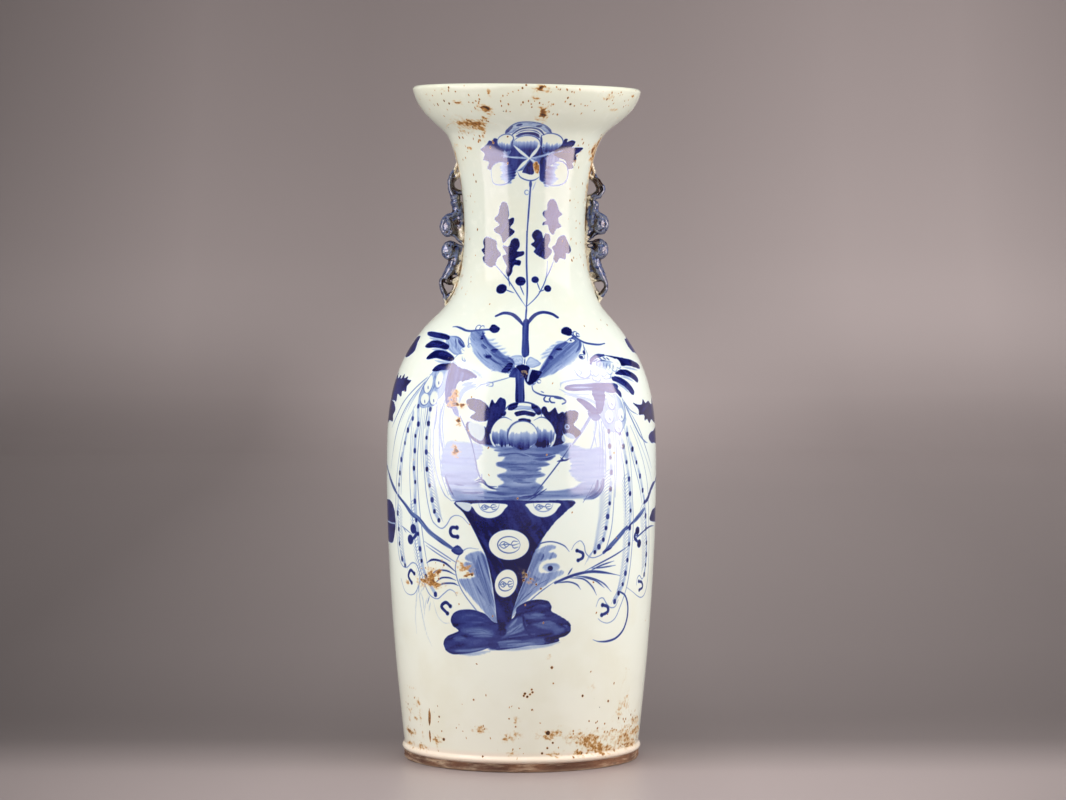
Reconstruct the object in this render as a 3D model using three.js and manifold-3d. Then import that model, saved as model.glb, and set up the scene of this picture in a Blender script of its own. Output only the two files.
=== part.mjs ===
// A blue and white porcelain baluster vase, 600 mm tall, in millimetres with +Z up.
// It stands on its foot ring at z = 0 around the Z axis, its painted front faces -Y,
// and its handles are on +X and -X. It is built as a potter builds so large a pot:
// thrown sections are stacked and luted together with slip, a floor disc and a turned foot ring
// close the bottom, and four modelled scrolls are luted to the neck as its handles.
import * as THREE from "three";
import { mergeVertices } from "three/addons/utils/BufferGeometryUtils.js";
import Module from "manifold-3d";

const wasm = await Module();
wasm.setup();

// Section heights
const FOOT_HEIGHT = 7.6;
const LOWER_BODY_HEIGHT = 249.4;
const UPPER_BODY_HEIGHT = 146;
const NECK_HEIGHT = 157;
const MOUTH_HEIGHT = 40;

// Outer radii
const ANKLE_RADIUS = 105.2;
const BELLY_RADIUS = 121;
const NECK_ROOT_RADIUS = 71;
const NECK_WAIST_RADIUS = 54.4;
const THROAT_RADIUS = 71;
const LIP_RADIUS = 101.9;

// Wall widths, measured level, where the sections meet
const BASE_WALL = 8.4;
const BELLY_WALL = 7;
const NECK_ROOT_WALL = 9;
const THROAT_WALL = 8;
const LIP_WALL = 6;

// Foot, bead above it and floor
const FOOT_STEP = 0.2;
const FOOT_LEDGE = 9;
const FOOT_CHAMFER = 1.6;
const BEAD_RADIUS = 2.6;
const BEAD_REACH = 1.6;
const BEAD_ARC = [-60, 50];
const FLOOR_THICKNESS = 10;
const FLOOR_CLEARANCE = 0.3;

// Curves of the outline: how far each section holds the slope that it starts or ends with
const ANKLE_SLOPE = 0.115;
const ANKLE_PULL = 85;
const BELLY_PULL = 77;
const SHOULDER_POWER = 3.2;
const NECK_ROOT_SLOPE = 0.64;
const NECK_ROOT_PULL = 20;
const NECK_WAIST_HEIGHT = 73;
const NECK_WAIST_PULL = 30;
const THROAT_SLOPE = 0.67;
const THROAT_PULL = 15;
const CUP_SLOPE = 1.36;
const CUP_PULL = 14;
const LIP_SLOPE = 0.17;
const LIP_PULL = 14;
const LIP_ARC = [36, 144];

// Slip that fills each seam on the inside
const SEAM_HEIGHT = 12;
const SEAM_DEPTH = 2.6;
const LUTING_GAP = 0.3;

// How the pot moved in the kiln: the neck and mouth slid sideways and the rim dips on one side
const NECK_SHIFT = 3;
const MOUTH_SHIFT = 1.8;
const SHIFT_BLEND = 25;
const RIM_TILT = 0.015;

// Handles: the level where the two scrolls of a side meet, and the routes of their straps from the luted end
// inwards, as [height above the neck's root, distance out from the pot]
const SCROLL_MEETING_HEIGHT = 61.5;
const SCROLL_HALF_GAP = 1.2;
const UPPER_STRAP_ROUTE = [
  [129, -1],
  [121, 2.4],
  [113, 8.8],
  [105.5, 11],
  [100, 7],
  [92, 4.6],
  [84, 7],
];
const LOWER_STRAP_ROUTE = [
  [2, -1.6],
  [9, 1.2],
  [15, 8],
  [20.5, 12.4],
  [27, 11.6],
  [34, 7.8],
  [45, 6],
];

// Handle straps, which start thin on the pot and swell, and the knobs that bind them
const STRAP_WIDTH = 12;
const STRAP_THICKNESS = 4.8;
const STRAP_TIP_SHARE = 0.62;
const STRAP_SWELL_SHARE = 0.3;
const UPPER_KNOB_HEIGHT = 97;
const LOWER_KNOB_HEIGHT = 36;
const KNOB_STANDOFF = 6;
const KNOB_RADII = [5, 8.4, 5];

// Ruyi heads: two volutes with filled cores, the bud between them and the pad that backs them on the pot
const VOLUTE_SPREAD = 8.2;
const VOLUTE_RADIUS = 6.2;
const VOLUTE_COIL = 3;
const VOLUTE_TURNS = 1.25;
const VOLUTE_CLOSING = 0.8;
const VOLUTE_THINNING = 0.25;
const VOLUTE_STANDOFF = 12.6;
const VOLUTE_DOME = 3;
const VOLUTE_CORE_SINK = 4;
const VOLUTE_CORE_RADII = [5.5, 6.6, 6.6];
const BUD_STANDOFF = 14.2;
const BUD_LEAN = 0.6;
const BUD_RADII = [6.4, 5.4, 9.6];
const PAD_STANDOFF = 2;
const PAD_RISE = 7;
const PAD_RADII = [10, 9.5, 12.5];

// How finely round forms are cut into facets
const SEGMENTS = 40;
const LOWER_BODY_RINGS = 5;
const SHOULDER_RINGS = 7;
const SHOULDER_CROWDING = 1.4;
const SHOULDER_FIRST_RING = 4;
const NECK_LOWER_RINGS = 4;
const NECK_UPPER_RINGS = 5;
const MOUTH_RINGS = 5;
const ARC_STEPS = 3;
const EGG_SIDES = 10;
const EGG_RINGS = 6;
const STRAP_STEPS = 12;
const STRAP_SIDES = 8;
const COIL_STEPS = 16;
const COIL_SIDES = 6;

const waistHeight = FOOT_HEIGHT + LOWER_BODY_HEIGHT;
const neckSeamHeight = waistHeight + UPPER_BODY_HEIGHT;
const mouthSeamHeight = neckSeamHeight + NECK_HEIGHT;
const rimHeight = mouthSeamHeight + MOUTH_HEIGHT;

const point = (radius, height) => new THREE.Vector2(radius, height);
const { smoothstep, lerp } = THREE.MathUtils;

// The outline, bottom to top, as four curves of radius against height
const lowerBodyCurve = new THREE.CubicBezierCurve(
  point(ANKLE_RADIUS, FOOT_HEIGHT + 2 * BEAD_RADIUS),
  point(ANKLE_RADIUS + ANKLE_SLOPE * ANKLE_PULL, FOOT_HEIGHT + 2 * BEAD_RADIUS + ANKLE_PULL),
  point(BELLY_RADIUS, waistHeight - BELLY_PULL),
  point(BELLY_RADIUS, waistHeight),
);

// The shoulder turns in faster and faster, so its rings crowd towards the top.
const shoulderOutline = Array.from({ length: SHOULDER_RINGS + 1 }, (_, ring) => {
  const share = 1 - (1 - ring / SHOULDER_RINGS) ** SHOULDER_CROWDING;
  const radius = lerp(BELLY_RADIUS, NECK_ROOT_RADIUS, share ** SHOULDER_POWER);
  return point(radius, waistHeight + UPPER_BODY_HEIGHT * share);
});

const neckWaist = point(NECK_WAIST_RADIUS, neckSeamHeight + NECK_WAIST_HEIGHT);
const neckLowerCurve = new THREE.CubicBezierCurve(
  point(NECK_ROOT_RADIUS, neckSeamHeight),
  point(NECK_ROOT_RADIUS - NECK_ROOT_SLOPE * NECK_ROOT_PULL, neckSeamHeight + NECK_ROOT_PULL),
  point(NECK_WAIST_RADIUS, neckWaist.y - NECK_WAIST_PULL),
  neckWaist,
);
const neckUpperCurve = new THREE.CubicBezierCurve(
  neckWaist,
  point(NECK_WAIST_RADIUS, neckWaist.y + NECK_WAIST_PULL),
  point(THROAT_RADIUS - THROAT_SLOPE * THROAT_PULL, mouthSeamHeight - THROAT_PULL),
  point(THROAT_RADIUS, mouthSeamHeight),
);

const lipTop = rimHeight - LIP_WALL / 2;
const mouthCurve = new THREE.CubicBezierCurve(
  point(THROAT_RADIUS, mouthSeamHeight),
  point(THROAT_RADIUS + CUP_SLOPE * CUP_PULL, mouthSeamHeight + CUP_PULL),
  point(LIP_RADIUS - LIP_SLOPE * LIP_PULL, lipTop - LIP_PULL),
  point(LIP_RADIUS, lipTop),
);

const lowerBodyOutline = lowerBodyCurve.getPoints(LOWER_BODY_RINGS);
const neckOutline = [
  ...neckLowerCurve.getPoints(NECK_LOWER_RINGS),
  ...neckUpperCurve.getPoints(NECK_UPPER_RINGS).slice(1),
];
const mouthOutline = mouthCurve.getPoints(MOUTH_RINGS);

// The radius of an outline at a height, between its points.
function radiusAt(outline, height) {
  const above = outline.findIndex((p) => p.y >= height);
  if (above <= 0) return outline[above === 0 ? 0 : outline.length - 1].x;
  const [low, high] = [outline[above - 1], outline[above]];
  return lerp(low.x, high.x, (height - low.y) / (high.y - low.y));
}

// The inside of a wall whose width runs evenly from one value at its bottom to another at its top.
function innerOutline(outline, wallLow, wallHigh) {
  const [first, last] = [outline[0].y, outline[outline.length - 1].y];
  return outline.map((p) => point(p.x - lerp(wallLow, wallHigh, (p.y - first) / (last - first)), p.y));
}

// Moves each point of an outline outwards, square to it.
function offsetOutline(outline, distance) {
  return outline.map((p, i) => {
    const before = outline[Math.max(0, i - 1)];
    const after = outline[Math.min(outline.length - 1, i + 1)];
    const along = after.clone().sub(before).normalize();
    return point(p.x + along.y * distance, p.y - along.x * distance);
  });
}

// Points on an arc in the outline's plane, between two angles in degrees.
const arcPoints = (centre, radius, [from, to]) =>
  Array.from({ length: ARC_STEPS + 1 }, (_, i) => {
    const angle = THREE.MathUtils.degToRad(lerp(from, to, i / ARC_STEPS));
    return point(centre.x + radius * Math.cos(angle), centre.y + radius * Math.sin(angle));
  });

// Turns a closed profile, listed anticlockwise, round the Z axis.
function turn(profile) {
  return new THREE.LatheGeometry([...profile, profile[0]], SEGMENTS).rotateX(Math.PI / 2);
}

// A disc-like profile that starts and ends on the axis.
function turnFromAxis(profile) {
  const closed = [point(0, profile[0].y), ...profile, point(0, profile[profile.length - 1].y)];
  return new THREE.LatheGeometry(closed, SEGMENTS).rotateX(Math.PI / 2);
}

// A closed geometry as a solid that can be joined or cut.
function toSolid(geometry) {
  const bare = geometry.clone();
  bare.deleteAttribute("normal");
  bare.deleteAttribute("uv");
  const merged = mergeVertices(bare, 1e-3);
  return new wasm.Manifold(
    new wasm.Mesh({
      numProp: 3,
      vertProperties: merged.attributes.position.array,
      triVerts: new Uint32Array(merged.index.array),
    }),
  );
}

// A joined or cut solid as a geometry again.
function toGeometry(solid) {
  const mesh = solid.getMesh();
  return new THREE.BufferGeometry()
    .setAttribute("position", new THREE.BufferAttribute(mesh.vertProperties, 3))
    .setIndex(new THREE.BufferAttribute(mesh.triVerts, 1));
}

// Moves a geometry's points as the kiln moved the pot. Every seam below the mouth stays level.
function kilnWarp(geometry) {
  const place = geometry.attributes.position;
  for (let i = 0; i < place.count; i++) {
    const [x, z] = [place.getX(i), place.getZ(i)];
    const neckShare = smoothstep(z, neckSeamHeight - SHIFT_BLEND, neckSeamHeight + SHIFT_BLEND);
    const mouthShare = smoothstep(z, mouthSeamHeight - SHIFT_BLEND, mouthSeamHeight + SHIFT_BLEND);
    const rimShare = smoothstep(z, mouthSeamHeight, rimHeight);
    place.setX(i, x + NECK_SHIFT * neckShare + MOUTH_SHIFT * mouthShare);
    place.setZ(i, z - RIM_TILT * x * rimShare);
  }
  return geometry;
}

// Foot ring: unglazed, chamfered where it stands, with a ledge inside the wall that carries the floor
const wallInside = ANKLE_RADIUS - BASE_WALL;
const footInside = wallInside - FOOT_LEDGE;
const footRadius = ANKLE_RADIUS + FOOT_STEP;
const footRing = turn([
  point(footInside + FOOT_CHAMFER, 0),
  point(footRadius - FOOT_CHAMFER, 0),
  point(footRadius, FOOT_CHAMFER),
  point(footRadius, FOOT_HEIGHT),
  point(footInside, FOOT_HEIGHT),
  point(footInside, FOOT_CHAMFER),
]);

// Floor disc, resting on the foot ring's ledge
const floorTop = FOOT_HEIGHT + FLOOR_THICKNESS;
const floorRadius = wallInside - FLOOR_CLEARANCE;
const baseFloor = turnFromAxis([point(floorRadius, FOOT_HEIGHT), point(floorRadius, floorTop)]);

// Lower body: the bead of glazed clay above the foot, then the rising wall
const beadCentre = point(ANKLE_RADIUS + BEAD_REACH - BEAD_RADIUS, FOOT_HEIGHT + BEAD_RADIUS);
const bead = arcPoints(beadCentre, BEAD_RADIUS, BEAD_ARC);
const lowerInner = [
  point(wallInside, FOOT_HEIGHT),
  point(wallInside, floorTop),
  ...innerOutline(lowerBodyOutline, BASE_WALL, BELLY_WALL).slice(1),
];
const lowerBody = turn([
  point(ANKLE_RADIUS, FOOT_HEIGHT),
  ...bead,
  ...lowerBodyOutline,
  ...lowerInner.toReversed(),
]);

// The wall between two rings of an outline.
function turnWall(outline, inner, first, last) {
  return turn([...outline.slice(first, last + 1), ...inner.slice(first, last + 1).toReversed()]);
}

// Upper body, shoulder, neck and mouth, each a wall that starts at the width the one below ends with
const shoulderInner = innerOutline(shoulderOutline, BELLY_WALL, NECK_ROOT_WALL);
const upperBody = turnWall(shoulderOutline, shoulderInner, 0, SHOULDER_FIRST_RING);
const shoulder = turnWall(shoulderOutline, shoulderInner, SHOULDER_FIRST_RING, SHOULDER_RINGS);

const neckInner = innerOutline(neckOutline, NECK_ROOT_WALL, THROAT_WALL);
const lowerNeck = turnWall(neckOutline, neckInner, 0, NECK_LOWER_RINGS);
const upperNeck = turnWall(neckOutline, neckInner, NECK_LOWER_RINGS, NECK_LOWER_RINGS + NECK_UPPER_RINGS);

const mouthInner = innerOutline(mouthOutline, THROAT_WALL, LIP_WALL);
const lip = arcPoints(point(LIP_RADIUS - LIP_WALL / 2, lipTop), LIP_WALL / 2, LIP_ARC);
const mouth = turn([...mouthOutline, ...lip, ...mouthInner.toReversed()]);

// A ridge of slip that covers the seam between two walls on the inside.
function seamRidge(innerBelow, innerAbove, height) {
  const inner = [...innerBelow, ...innerAbove.slice(1)];
  const at = (offset, depth) => {
    const slope = height + (offset * SEAM_HEIGHT) / 2;
    return point(radiusAt(inner, slope) - LUTING_GAP - depth * SEAM_DEPTH, slope);
  };
  return turn([at(-1, 0), at(0, 0), at(1, 0), at(0.5, 1), at(-0.5, 1)]);
}

// The fillet of slip where the floor meets the wall
const filletRadius = wallInside - LUTING_GAP;
const floorFillet = turn([
  point(filletRadius - SEAM_HEIGHT / 2, floorTop),
  point(filletRadius, floorTop),
  point(filletRadius, floorTop + SEAM_HEIGHT / 2),
]);

const waistSeam = seamRidge(lowerInner, shoulderInner, waistHeight);
const neckSeam = seamRidge(shoulderInner, neckInner, neckSeamHeight);
const mouthSeam = seamRidge(neckInner, mouthInner, mouthSeamHeight);

// The outside of the pot where the handles sit, grown by the luting gap, to shape their backs
const handleGround = [...shoulderOutline.slice(2), ...neckOutline.slice(1), ...mouthOutline.slice(1)];
const handleCutter = toSolid(turnFromAxis(offsetOutline(handleGround, LUTING_GAP)));

// A point of a handle: height above the neck's root, distance out from the pot, and distance across.
function handlePoint(height, standoff, across = 0) {
  const z = neckSeamHeight + height;
  return new THREE.Vector3(radiusAt(handleGround, z) + standoff, across, z);
}

// A tube with an oval section along a curve. Its half sizes, side to side and through, vary along it.
function ovalTube(curve, halfWidth, halfThickness, side, steps, sides) {
  const positions = [];
  const index = [];
  for (let i = 0; i <= steps; i++) {
    const t = i / steps;
    const centre = curve.getPoint(t);
    const along = curve.getTangent(t);
    const through = new THREE.Vector3().crossVectors(side, along).normalize();
    const across = new THREE.Vector3().crossVectors(along, through);
    for (let j = 0; j < sides; j++) {
      const angle = ((j + 0.5) / sides) * 2 * Math.PI;
      const p = centre
        .clone()
        .addScaledVector(across, halfWidth(t) * Math.cos(angle))
        .addScaledVector(through, halfThickness(t) * Math.sin(angle));
      positions.push(...p.toArray());
    }
  }
  const ringPoint = (i, j) => i * sides + (j % sides);
  for (let i = 0; i < steps; i++)
    for (let j = 0; j < sides; j++) {
      const [a, b] = [ringPoint(i, j), ringPoint(i, j + 1)];
      const [c, d] = [ringPoint(i + 1, j), ringPoint(i + 1, j + 1)];
      index.push(a, d, b, a, c, d);
    }
  for (let j = 1; j < sides - 1; j++) {
    index.push(0, j, j + 1);
    index.push(ringPoint(steps, 0), ringPoint(steps, j + 1), ringPoint(steps, j));
  }
  return new THREE.BufferGeometry()
    .setAttribute("position", new THREE.Float32BufferAttribute(positions, 3))
    .setIndex(index);
}

// An egg of clay with its three half sizes.
function egg(centre, [out, across, up]) {
  return new THREE.SphereGeometry(1, EGG_SIDES, EGG_RINGS)
    .rotateX(Math.PI / 2)
    .scale(out, across, up)
    .translate(centre.x, centre.y, centre.z);
}

// One volute: a coil that winds in from the stem, its eye standing prouder than its rim.
function volute(height, hand, up) {
  const spiral = new THREE.Curve();
  spiral.getPoint = (t) => {
    const angle = (0.5 - 2 * VOLUTE_TURNS * t) * Math.PI;
    const radius = VOLUTE_RADIUS * (1 - VOLUTE_CLOSING * t);
    return handlePoint(
      height + up * radius * Math.sin(angle),
      lerp(VOLUTE_STANDOFF - VOLUTE_DOME, VOLUTE_STANDOFF, t),
      hand * (VOLUTE_SPREAD - radius * Math.cos(angle)),
    );
  };
  const coil = (t) => VOLUTE_COIL * (1 - VOLUTE_THINNING * t);
  return ovalTube(spiral, coil, coil, new THREE.Vector3(1, 0, 0), COIL_STEPS, COIL_SIDES);
}

// One scroll of a handle. Its strap runs from a thin end on the pot, bows out and comes back to a bound stem,
// which opens into a ruyi head: two volutes with a bud between them. up is 1 or -1, the way the strap leads.
function scroll(strapRoute, knobHeight, headHeight, up) {
  const strapCurve = new THREE.CatmullRomCurve3(strapRoute.map(([h, s]) => handlePoint(h, s)));
  const swell = (t) => lerp(STRAP_TIP_SHARE, 1, smoothstep(t, 0, STRAP_SWELL_SHARE));
  const strap = ovalTube(
    strapCurve,
    (t) => (STRAP_WIDTH / 2) * swell(t),
    (t) => (STRAP_THICKNESS / 2) * swell(t),
    new THREE.Vector3(0, 1, 0),
    STRAP_STEPS,
    STRAP_SIDES,
  );
  const coreStandoff = VOLUTE_STANDOFF - VOLUTE_CORE_SINK;
  const pieces = [
    egg(handlePoint(knobHeight, KNOB_STANDOFF), KNOB_RADII),
    egg(handlePoint(headHeight + up * PAD_RISE, PAD_STANDOFF), PAD_RADII),
    egg(handlePoint(headHeight - up * BUD_LEAN, BUD_STANDOFF), BUD_RADII),
    ...[1, -1].flatMap((hand) => [
      volute(headHeight, hand, up),
      egg(handlePoint(headHeight, coreStandoff, hand * VOLUTE_SPREAD), VOLUTE_CORE_RADII),
    ]),
  ];
  return pieces.reduce((whole, piece) => whole.add(toSolid(piece)), toSolid(strap)).subtract(handleCutter);
}

const headReach = VOLUTE_RADIUS + VOLUTE_COIL + SCROLL_HALF_GAP;
const upperScroll = scroll(UPPER_STRAP_ROUTE, UPPER_KNOB_HEIGHT, SCROLL_MEETING_HEIGHT + headReach, 1);
const lowerScroll = scroll(LOWER_STRAP_ROUTE, LOWER_KNOB_HEIGHT, SCROLL_MEETING_HEIGHT - headReach, -1);

// Finishes
const finish = (color, roughness) => new THREE.MeshStandardMaterial({ color, roughness, metalness: 0 });
const glaze = finish(0xd9dccb, 0.12);
const biscuit = finish(0x8c6a52, 0.85);
const slip = finish(0xd8cdb8, 0.6);
const blueGlaze = finish(0x66709a, 0.18);

const vase = new THREE.Group();
function addPiece(name, geometry, material) {
  const mesh = new THREE.Mesh(kilnWarp(geometry), material);
  mesh.name = name;
  vase.add(mesh);
}

addPiece("foot_ring", footRing, biscuit);
addPiece("base_floor", baseFloor, biscuit);
addPiece("lower_body", lowerBody, glaze);
addPiece("upper_body", upperBody, glaze);
addPiece("shoulder", shoulder, glaze);
addPiece("lower_neck", lowerNeck, glaze);
addPiece("upper_neck", upperNeck, glaze);
addPiece("mouth", mouth, glaze);
addPiece("floor_luting_fillet", floorFillet, slip);
addPiece("waist_luting_seam", waistSeam, slip);
addPiece("neck_luting_seam", neckSeam, slip);
addPiece("mouth_luting_seam", mouthSeam, slip);

for (const [side, quarterTurns] of [
  ["right", 0],
  ["left", 2],
]) {
  const place = (solid) => toGeometry(solid).rotateZ((quarterTurns * Math.PI) / 2);
  addPiece(`${side}_handle_upper_scroll`, place(upperScroll), blueGlaze);
  addPiece(`${side}_handle_lower_scroll`, place(lowerScroll), blueGlaze);
}

export default vase;
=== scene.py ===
import math

import bpy
import numpy as np
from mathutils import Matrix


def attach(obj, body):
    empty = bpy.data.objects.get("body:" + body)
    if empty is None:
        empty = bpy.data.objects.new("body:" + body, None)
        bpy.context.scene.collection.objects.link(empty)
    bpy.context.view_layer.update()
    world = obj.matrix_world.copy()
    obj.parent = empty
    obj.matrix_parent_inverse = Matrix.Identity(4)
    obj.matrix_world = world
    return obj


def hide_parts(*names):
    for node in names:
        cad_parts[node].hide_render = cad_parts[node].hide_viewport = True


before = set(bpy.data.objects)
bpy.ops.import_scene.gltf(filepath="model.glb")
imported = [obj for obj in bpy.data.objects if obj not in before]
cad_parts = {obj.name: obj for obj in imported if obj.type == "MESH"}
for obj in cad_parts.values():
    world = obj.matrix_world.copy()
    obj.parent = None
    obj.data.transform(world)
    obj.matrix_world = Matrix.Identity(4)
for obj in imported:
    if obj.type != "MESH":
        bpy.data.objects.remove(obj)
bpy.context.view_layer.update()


# The pot's outline in mm, as the frame has it
WAIST_HEIGHT, NECK_HEIGHT, MOUTH_HEIGHT, RIM_HEIGHT = 257, 403, 560, 600
BELLY_RADIUS, NECK_ROOT_RADIUS, LIP_RADIUS = 121, 71, 101.9
ANKLE_CURVE = [(105.2, 12.8), (114.975, 97.8), (121, 180), (121, 257)]
LOWER_NECK_CURVE = [(71, 403), (58.2, 423), (54.4, 446), (54.4, 476)]
UPPER_NECK_CURVE = [(54.4, 476), (54.4, 506), (60.95, 545), (71, 560)]
MOUTH_CURVE = [(71, 560), (90.04, 574), (99.52, 583), (101.9, 597)]
SHOULDER_POWER = 3.2


def bezier(controls, count=60):
    a, b, c, d = (np.array(p, float) for p in controls)
    t = np.linspace(0, 1, count)[:, None]
    return a * (1 - t) ** 3 + 3 * b * t * (1 - t) ** 2 + 3 * c * t**2 * (1 - t) + d * t**3


def shoulder_curve(count=60):
    share = np.linspace(0, 1, count)
    radius = BELLY_RADIUS + (NECK_ROOT_RADIUS - BELLY_RADIUS) * share**SHOULDER_POWER
    return np.column_stack([radius, WAIST_HEIGHT + (NECK_HEIGHT - WAIST_HEIGHT) * share])


OUTLINE = np.vstack(
    [bezier(ANKLE_CURVE), shoulder_curve()[1:]]
    + [bezier(curve)[1:] for curve in (LOWER_NECK_CURVE, UPPER_NECK_CURVE, MOUTH_CURVE)]
)


def radius_at(height):
    return np.interp(height, OUTLINE[:, 1], OUTLINE[:, 0])


# The painting is unrolled round the pot: columns in degrees from the front (-Y) towards +X, rows in mm of height
DEGREE_STEP = 1 / 6
HEIGHT_STEP = 0.35
PAINTED_TOP = 600
SOFT_EDGE = 0.45
NOISE_CELLS = 256
NOISE = np.random.default_rng(7).random((NOISE_CELLS, NOISE_CELLS), dtype=np.float32)


def smooth_noise(x, y):
    """Value noise from 0 to 1, with one cell per unit."""
    xi, yi = np.floor(x).astype(int), np.floor(y).astype(int)
    u, v = x - xi, y - yi
    u, v = u * u * (3 - 2 * u), v * v * (3 - 2 * v)

    def pick(i, j):
        return NOISE[(yi + j) % NOISE_CELLS, (xi + i) % NOISE_CELLS]

    low = pick(0, 0) * (1 - u) + pick(1, 0) * u
    high = pick(0, 1) * (1 - u) + pick(1, 1) * u
    return low * (1 - v) + high * v


def smooth_line(points, closed=False, steps=5):
    """A Catmull-Rom curve through given points."""
    p = np.array(points, float)
    p = np.vstack([p[-1], p, p[:2]]) if closed else np.vstack([2 * p[0] - p[1], p, 2 * p[-1] - p[-2]])
    t = np.linspace(0, 1, steps, endpoint=False)[:, None]
    spans = [
        0.5 * (2 * b + (c - a) * t + (2 * a - 5 * b + 4 * c - d) * t**2 + (3 * b - a - 3 * c + d) * t**3)
        for a, b, c, d in zip(p, p[1:], p[2:], p[3:])
    ]
    line = np.vstack(spans)
    return line if closed else np.vstack([line, p[-2]])


def ramp(value, low, high):
    t = np.clip((value - low) / (high - low), 0, 1)
    return t * t * (3 - 2 * t)


class Painting:
    """Cobalt and stains on the glaze, unrolled round the pot."""

    def __init__(self, radius_at):
        self.columns = round(360 / DEGREE_STEP)
        self.heights = np.arange(0, PAINTED_TOP + HEIGHT_STEP, HEIGHT_STEP)
        radii = radius_at(self.heights)
        self.slant = np.concatenate([[0], np.cumsum(np.hypot(np.diff(self.heights), np.diff(radii)))])
        self.mm_per_degree = radii * math.pi / 180
        self.cobalt = np.zeros((len(self.heights), self.columns), np.float32)
        self.rust = np.zeros_like(self.cobalt)

    def window(self, points, margin):
        """First and last row and column of the cells within a margin in mm of some points."""
        r0 = max(0, int((points[:, 1].min() - margin) / HEIGHT_STEP))
        r1 = min(len(self.heights), int((points[:, 1].max() + margin) / HEIGHT_STEP) + 2)
        reach = margin / self.mm_per_degree[r0:r1].min()
        c0 = int((points[:, 0].min() - reach + 180) / DEGREE_STEP)
        c1 = int((points[:, 0].max() + reach + 180) / DEGREE_STEP) + 2
        return r0, r1, c0, c1

    def places(self, r0, r1, c0, c1):
        """Degrees, slant mm and mm per degree of a window's cells."""
        degrees = (np.arange(c0, c1) * DEGREE_STEP - 180)[None, :]
        return degrees, self.slant[r0:r1, None], self.mm_per_degree[r0:r1, None]

    def line_field(self, line, half_widths, margin):
        """For the cells round a line: distance to its edge, place along it and distance to its side, in mm."""
        box = self.window(line, margin)
        s = np.interp(line[:, 1], self.heights, self.slant)
        shape = (box[1] - box[0], box[3] - box[2])
        best, along, side = np.full(shape, 1e3, np.float32), np.zeros(shape), np.zeros(shape)
        travelled = 0
        for i in range(len(line) - 1):
            r0, r1, c0, c1 = self.window(line[i : i + 2], margin)
            part = (slice(r0 - box[0], r1 - box[0]), slice(c0 - box[2], c1 - box[2]))
            degrees, slant, scale = self.places(r0, r1, c0, c1)
            vx, vz = (line[i + 1, 0] - line[i, 0]) * scale, s[i + 1] - s[i]
            x, z = (degrees - line[i, 0]) * scale, slant - s[i]
            length = np.sqrt(vx * vx + vz * vz + 1e-9)
            t = np.clip((x * vx + z * vz) / length**2, 0, 1)
            distance = np.hypot(x - t * vx, z - t * vz) - half_widths[i]
            distance -= t * (half_widths[i + 1] - half_widths[i])
            nearer = distance < best[part]
            best[part] = np.where(nearer, distance, best[part])
            along[part] = np.where(nearer, travelled + t * length, along[part])
            side[part] = np.where(nearer, (x * vz - z * vx) / length, side[part])
            travelled += float(length.mean())
        return box, best, along, side

    def shape_field(self, outline, margin):
        """For the cells round a closed outline: distance to it, negative inside, and their places in mm."""
        closed = np.vstack([outline, outline[:1]])
        box, best, _, _ = self.line_field(closed, np.zeros(len(closed)), margin)
        degrees, slant, scale = self.places(*box)
        s = np.interp(closed[:, 1], self.heights, self.slant)
        inside = np.zeros(best.shape, bool)
        for i in range(len(closed) - 1):
            if s[i] != s[i + 1]:
                crosses = (s[i] > slant) != (s[i + 1] > slant)
                share = (slant - s[i]) / (s[i + 1] - s[i])
                inside ^= crosses & (degrees < closed[i, 0] + share * (closed[i + 1, 0] - closed[i, 0]))
        return box, np.where(inside, -best, best), degrees * scale, np.broadcast_to(slant, best.shape)

    def lay(self, box, amount, layer=None):
        """Adds paint where there is less of it."""
        layer = self.cobalt if layer is None else layer
        at = np.ix_(np.arange(box[0], box[1]), np.arange(box[2], box[3]) % self.columns)
        layer[at] = np.maximum(layer[at], amount)

    def stroke(self, points, width, tone=0.9, start=0.25, end=0.25, streak=0.15, soft=SOFT_EDGE, layer=None):
        """One pull of the brush: full width in the middle, a share of it at each end."""
        line = smooth_line(points)
        t = np.linspace(0, 1, len(line))
        swell = np.minimum(start + (1 - start) * ramp(t, 0, 0.3), end + (1 - end) * ramp(1 - t, 0, 0.3))
        box, distance, along, side = self.line_field(line, width / 2 * swell, width / 2 + 2 * soft)
        cover = 1 - ramp(distance, -soft, soft)
        hairs = smooth_noise(side / 0.6 + 7 * points[0][0], along / 9 + points[0][1])
        self.lay(box, tone * cover * (1 - streak * hairs), layer)

    def strokes(self, lines, width, tone=0.9, **how):
        for points in lines:
            self.stroke(points, width, tone, **how)

    def wash(self, points, tone, streak=0.25, angle=0, grain=(1.1, 16), fade=None, ragged=0.4, rim=0.1,
             soft=SOFT_EDGE, layer=None):
        """A filled shape streaked along an angle in degrees. fade is (tone on the far side, its direction)."""
        outline = smooth_line(points, closed=True, steps=4)
        box, distance, x, z = self.shape_field(outline, 3)
        a = math.radians(angle)
        along, across = x * math.cos(a) + z * math.sin(a), z * math.cos(a) - x * math.sin(a)
        hairs = 0.6 * smooth_noise(across / grain[0], along / grain[1])
        hairs += 0.4 * smooth_noise(across / (2.3 * grain[0]) + 40, along / (1.7 * grain[1]) + 9)
        distance = distance + ragged * (2 * hairs - 1)
        body = tone * (1 + streak * (1 - 2 * hairs)) + rim * np.exp(-((distance / 0.9) ** 2))
        inside = distance < 0
        if fade and inside.any():
            b = math.radians(fade[1])
            reach = x * math.cos(b) + z * math.sin(b)
            body = body * (1 - ramp(reach, reach[inside].min(), reach[inside].max()) * (1 - fade[0] / tone))
        self.lay(box, np.clip(body, 0, 1) * (1 - ramp(distance, -soft, soft)), layer)

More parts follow.
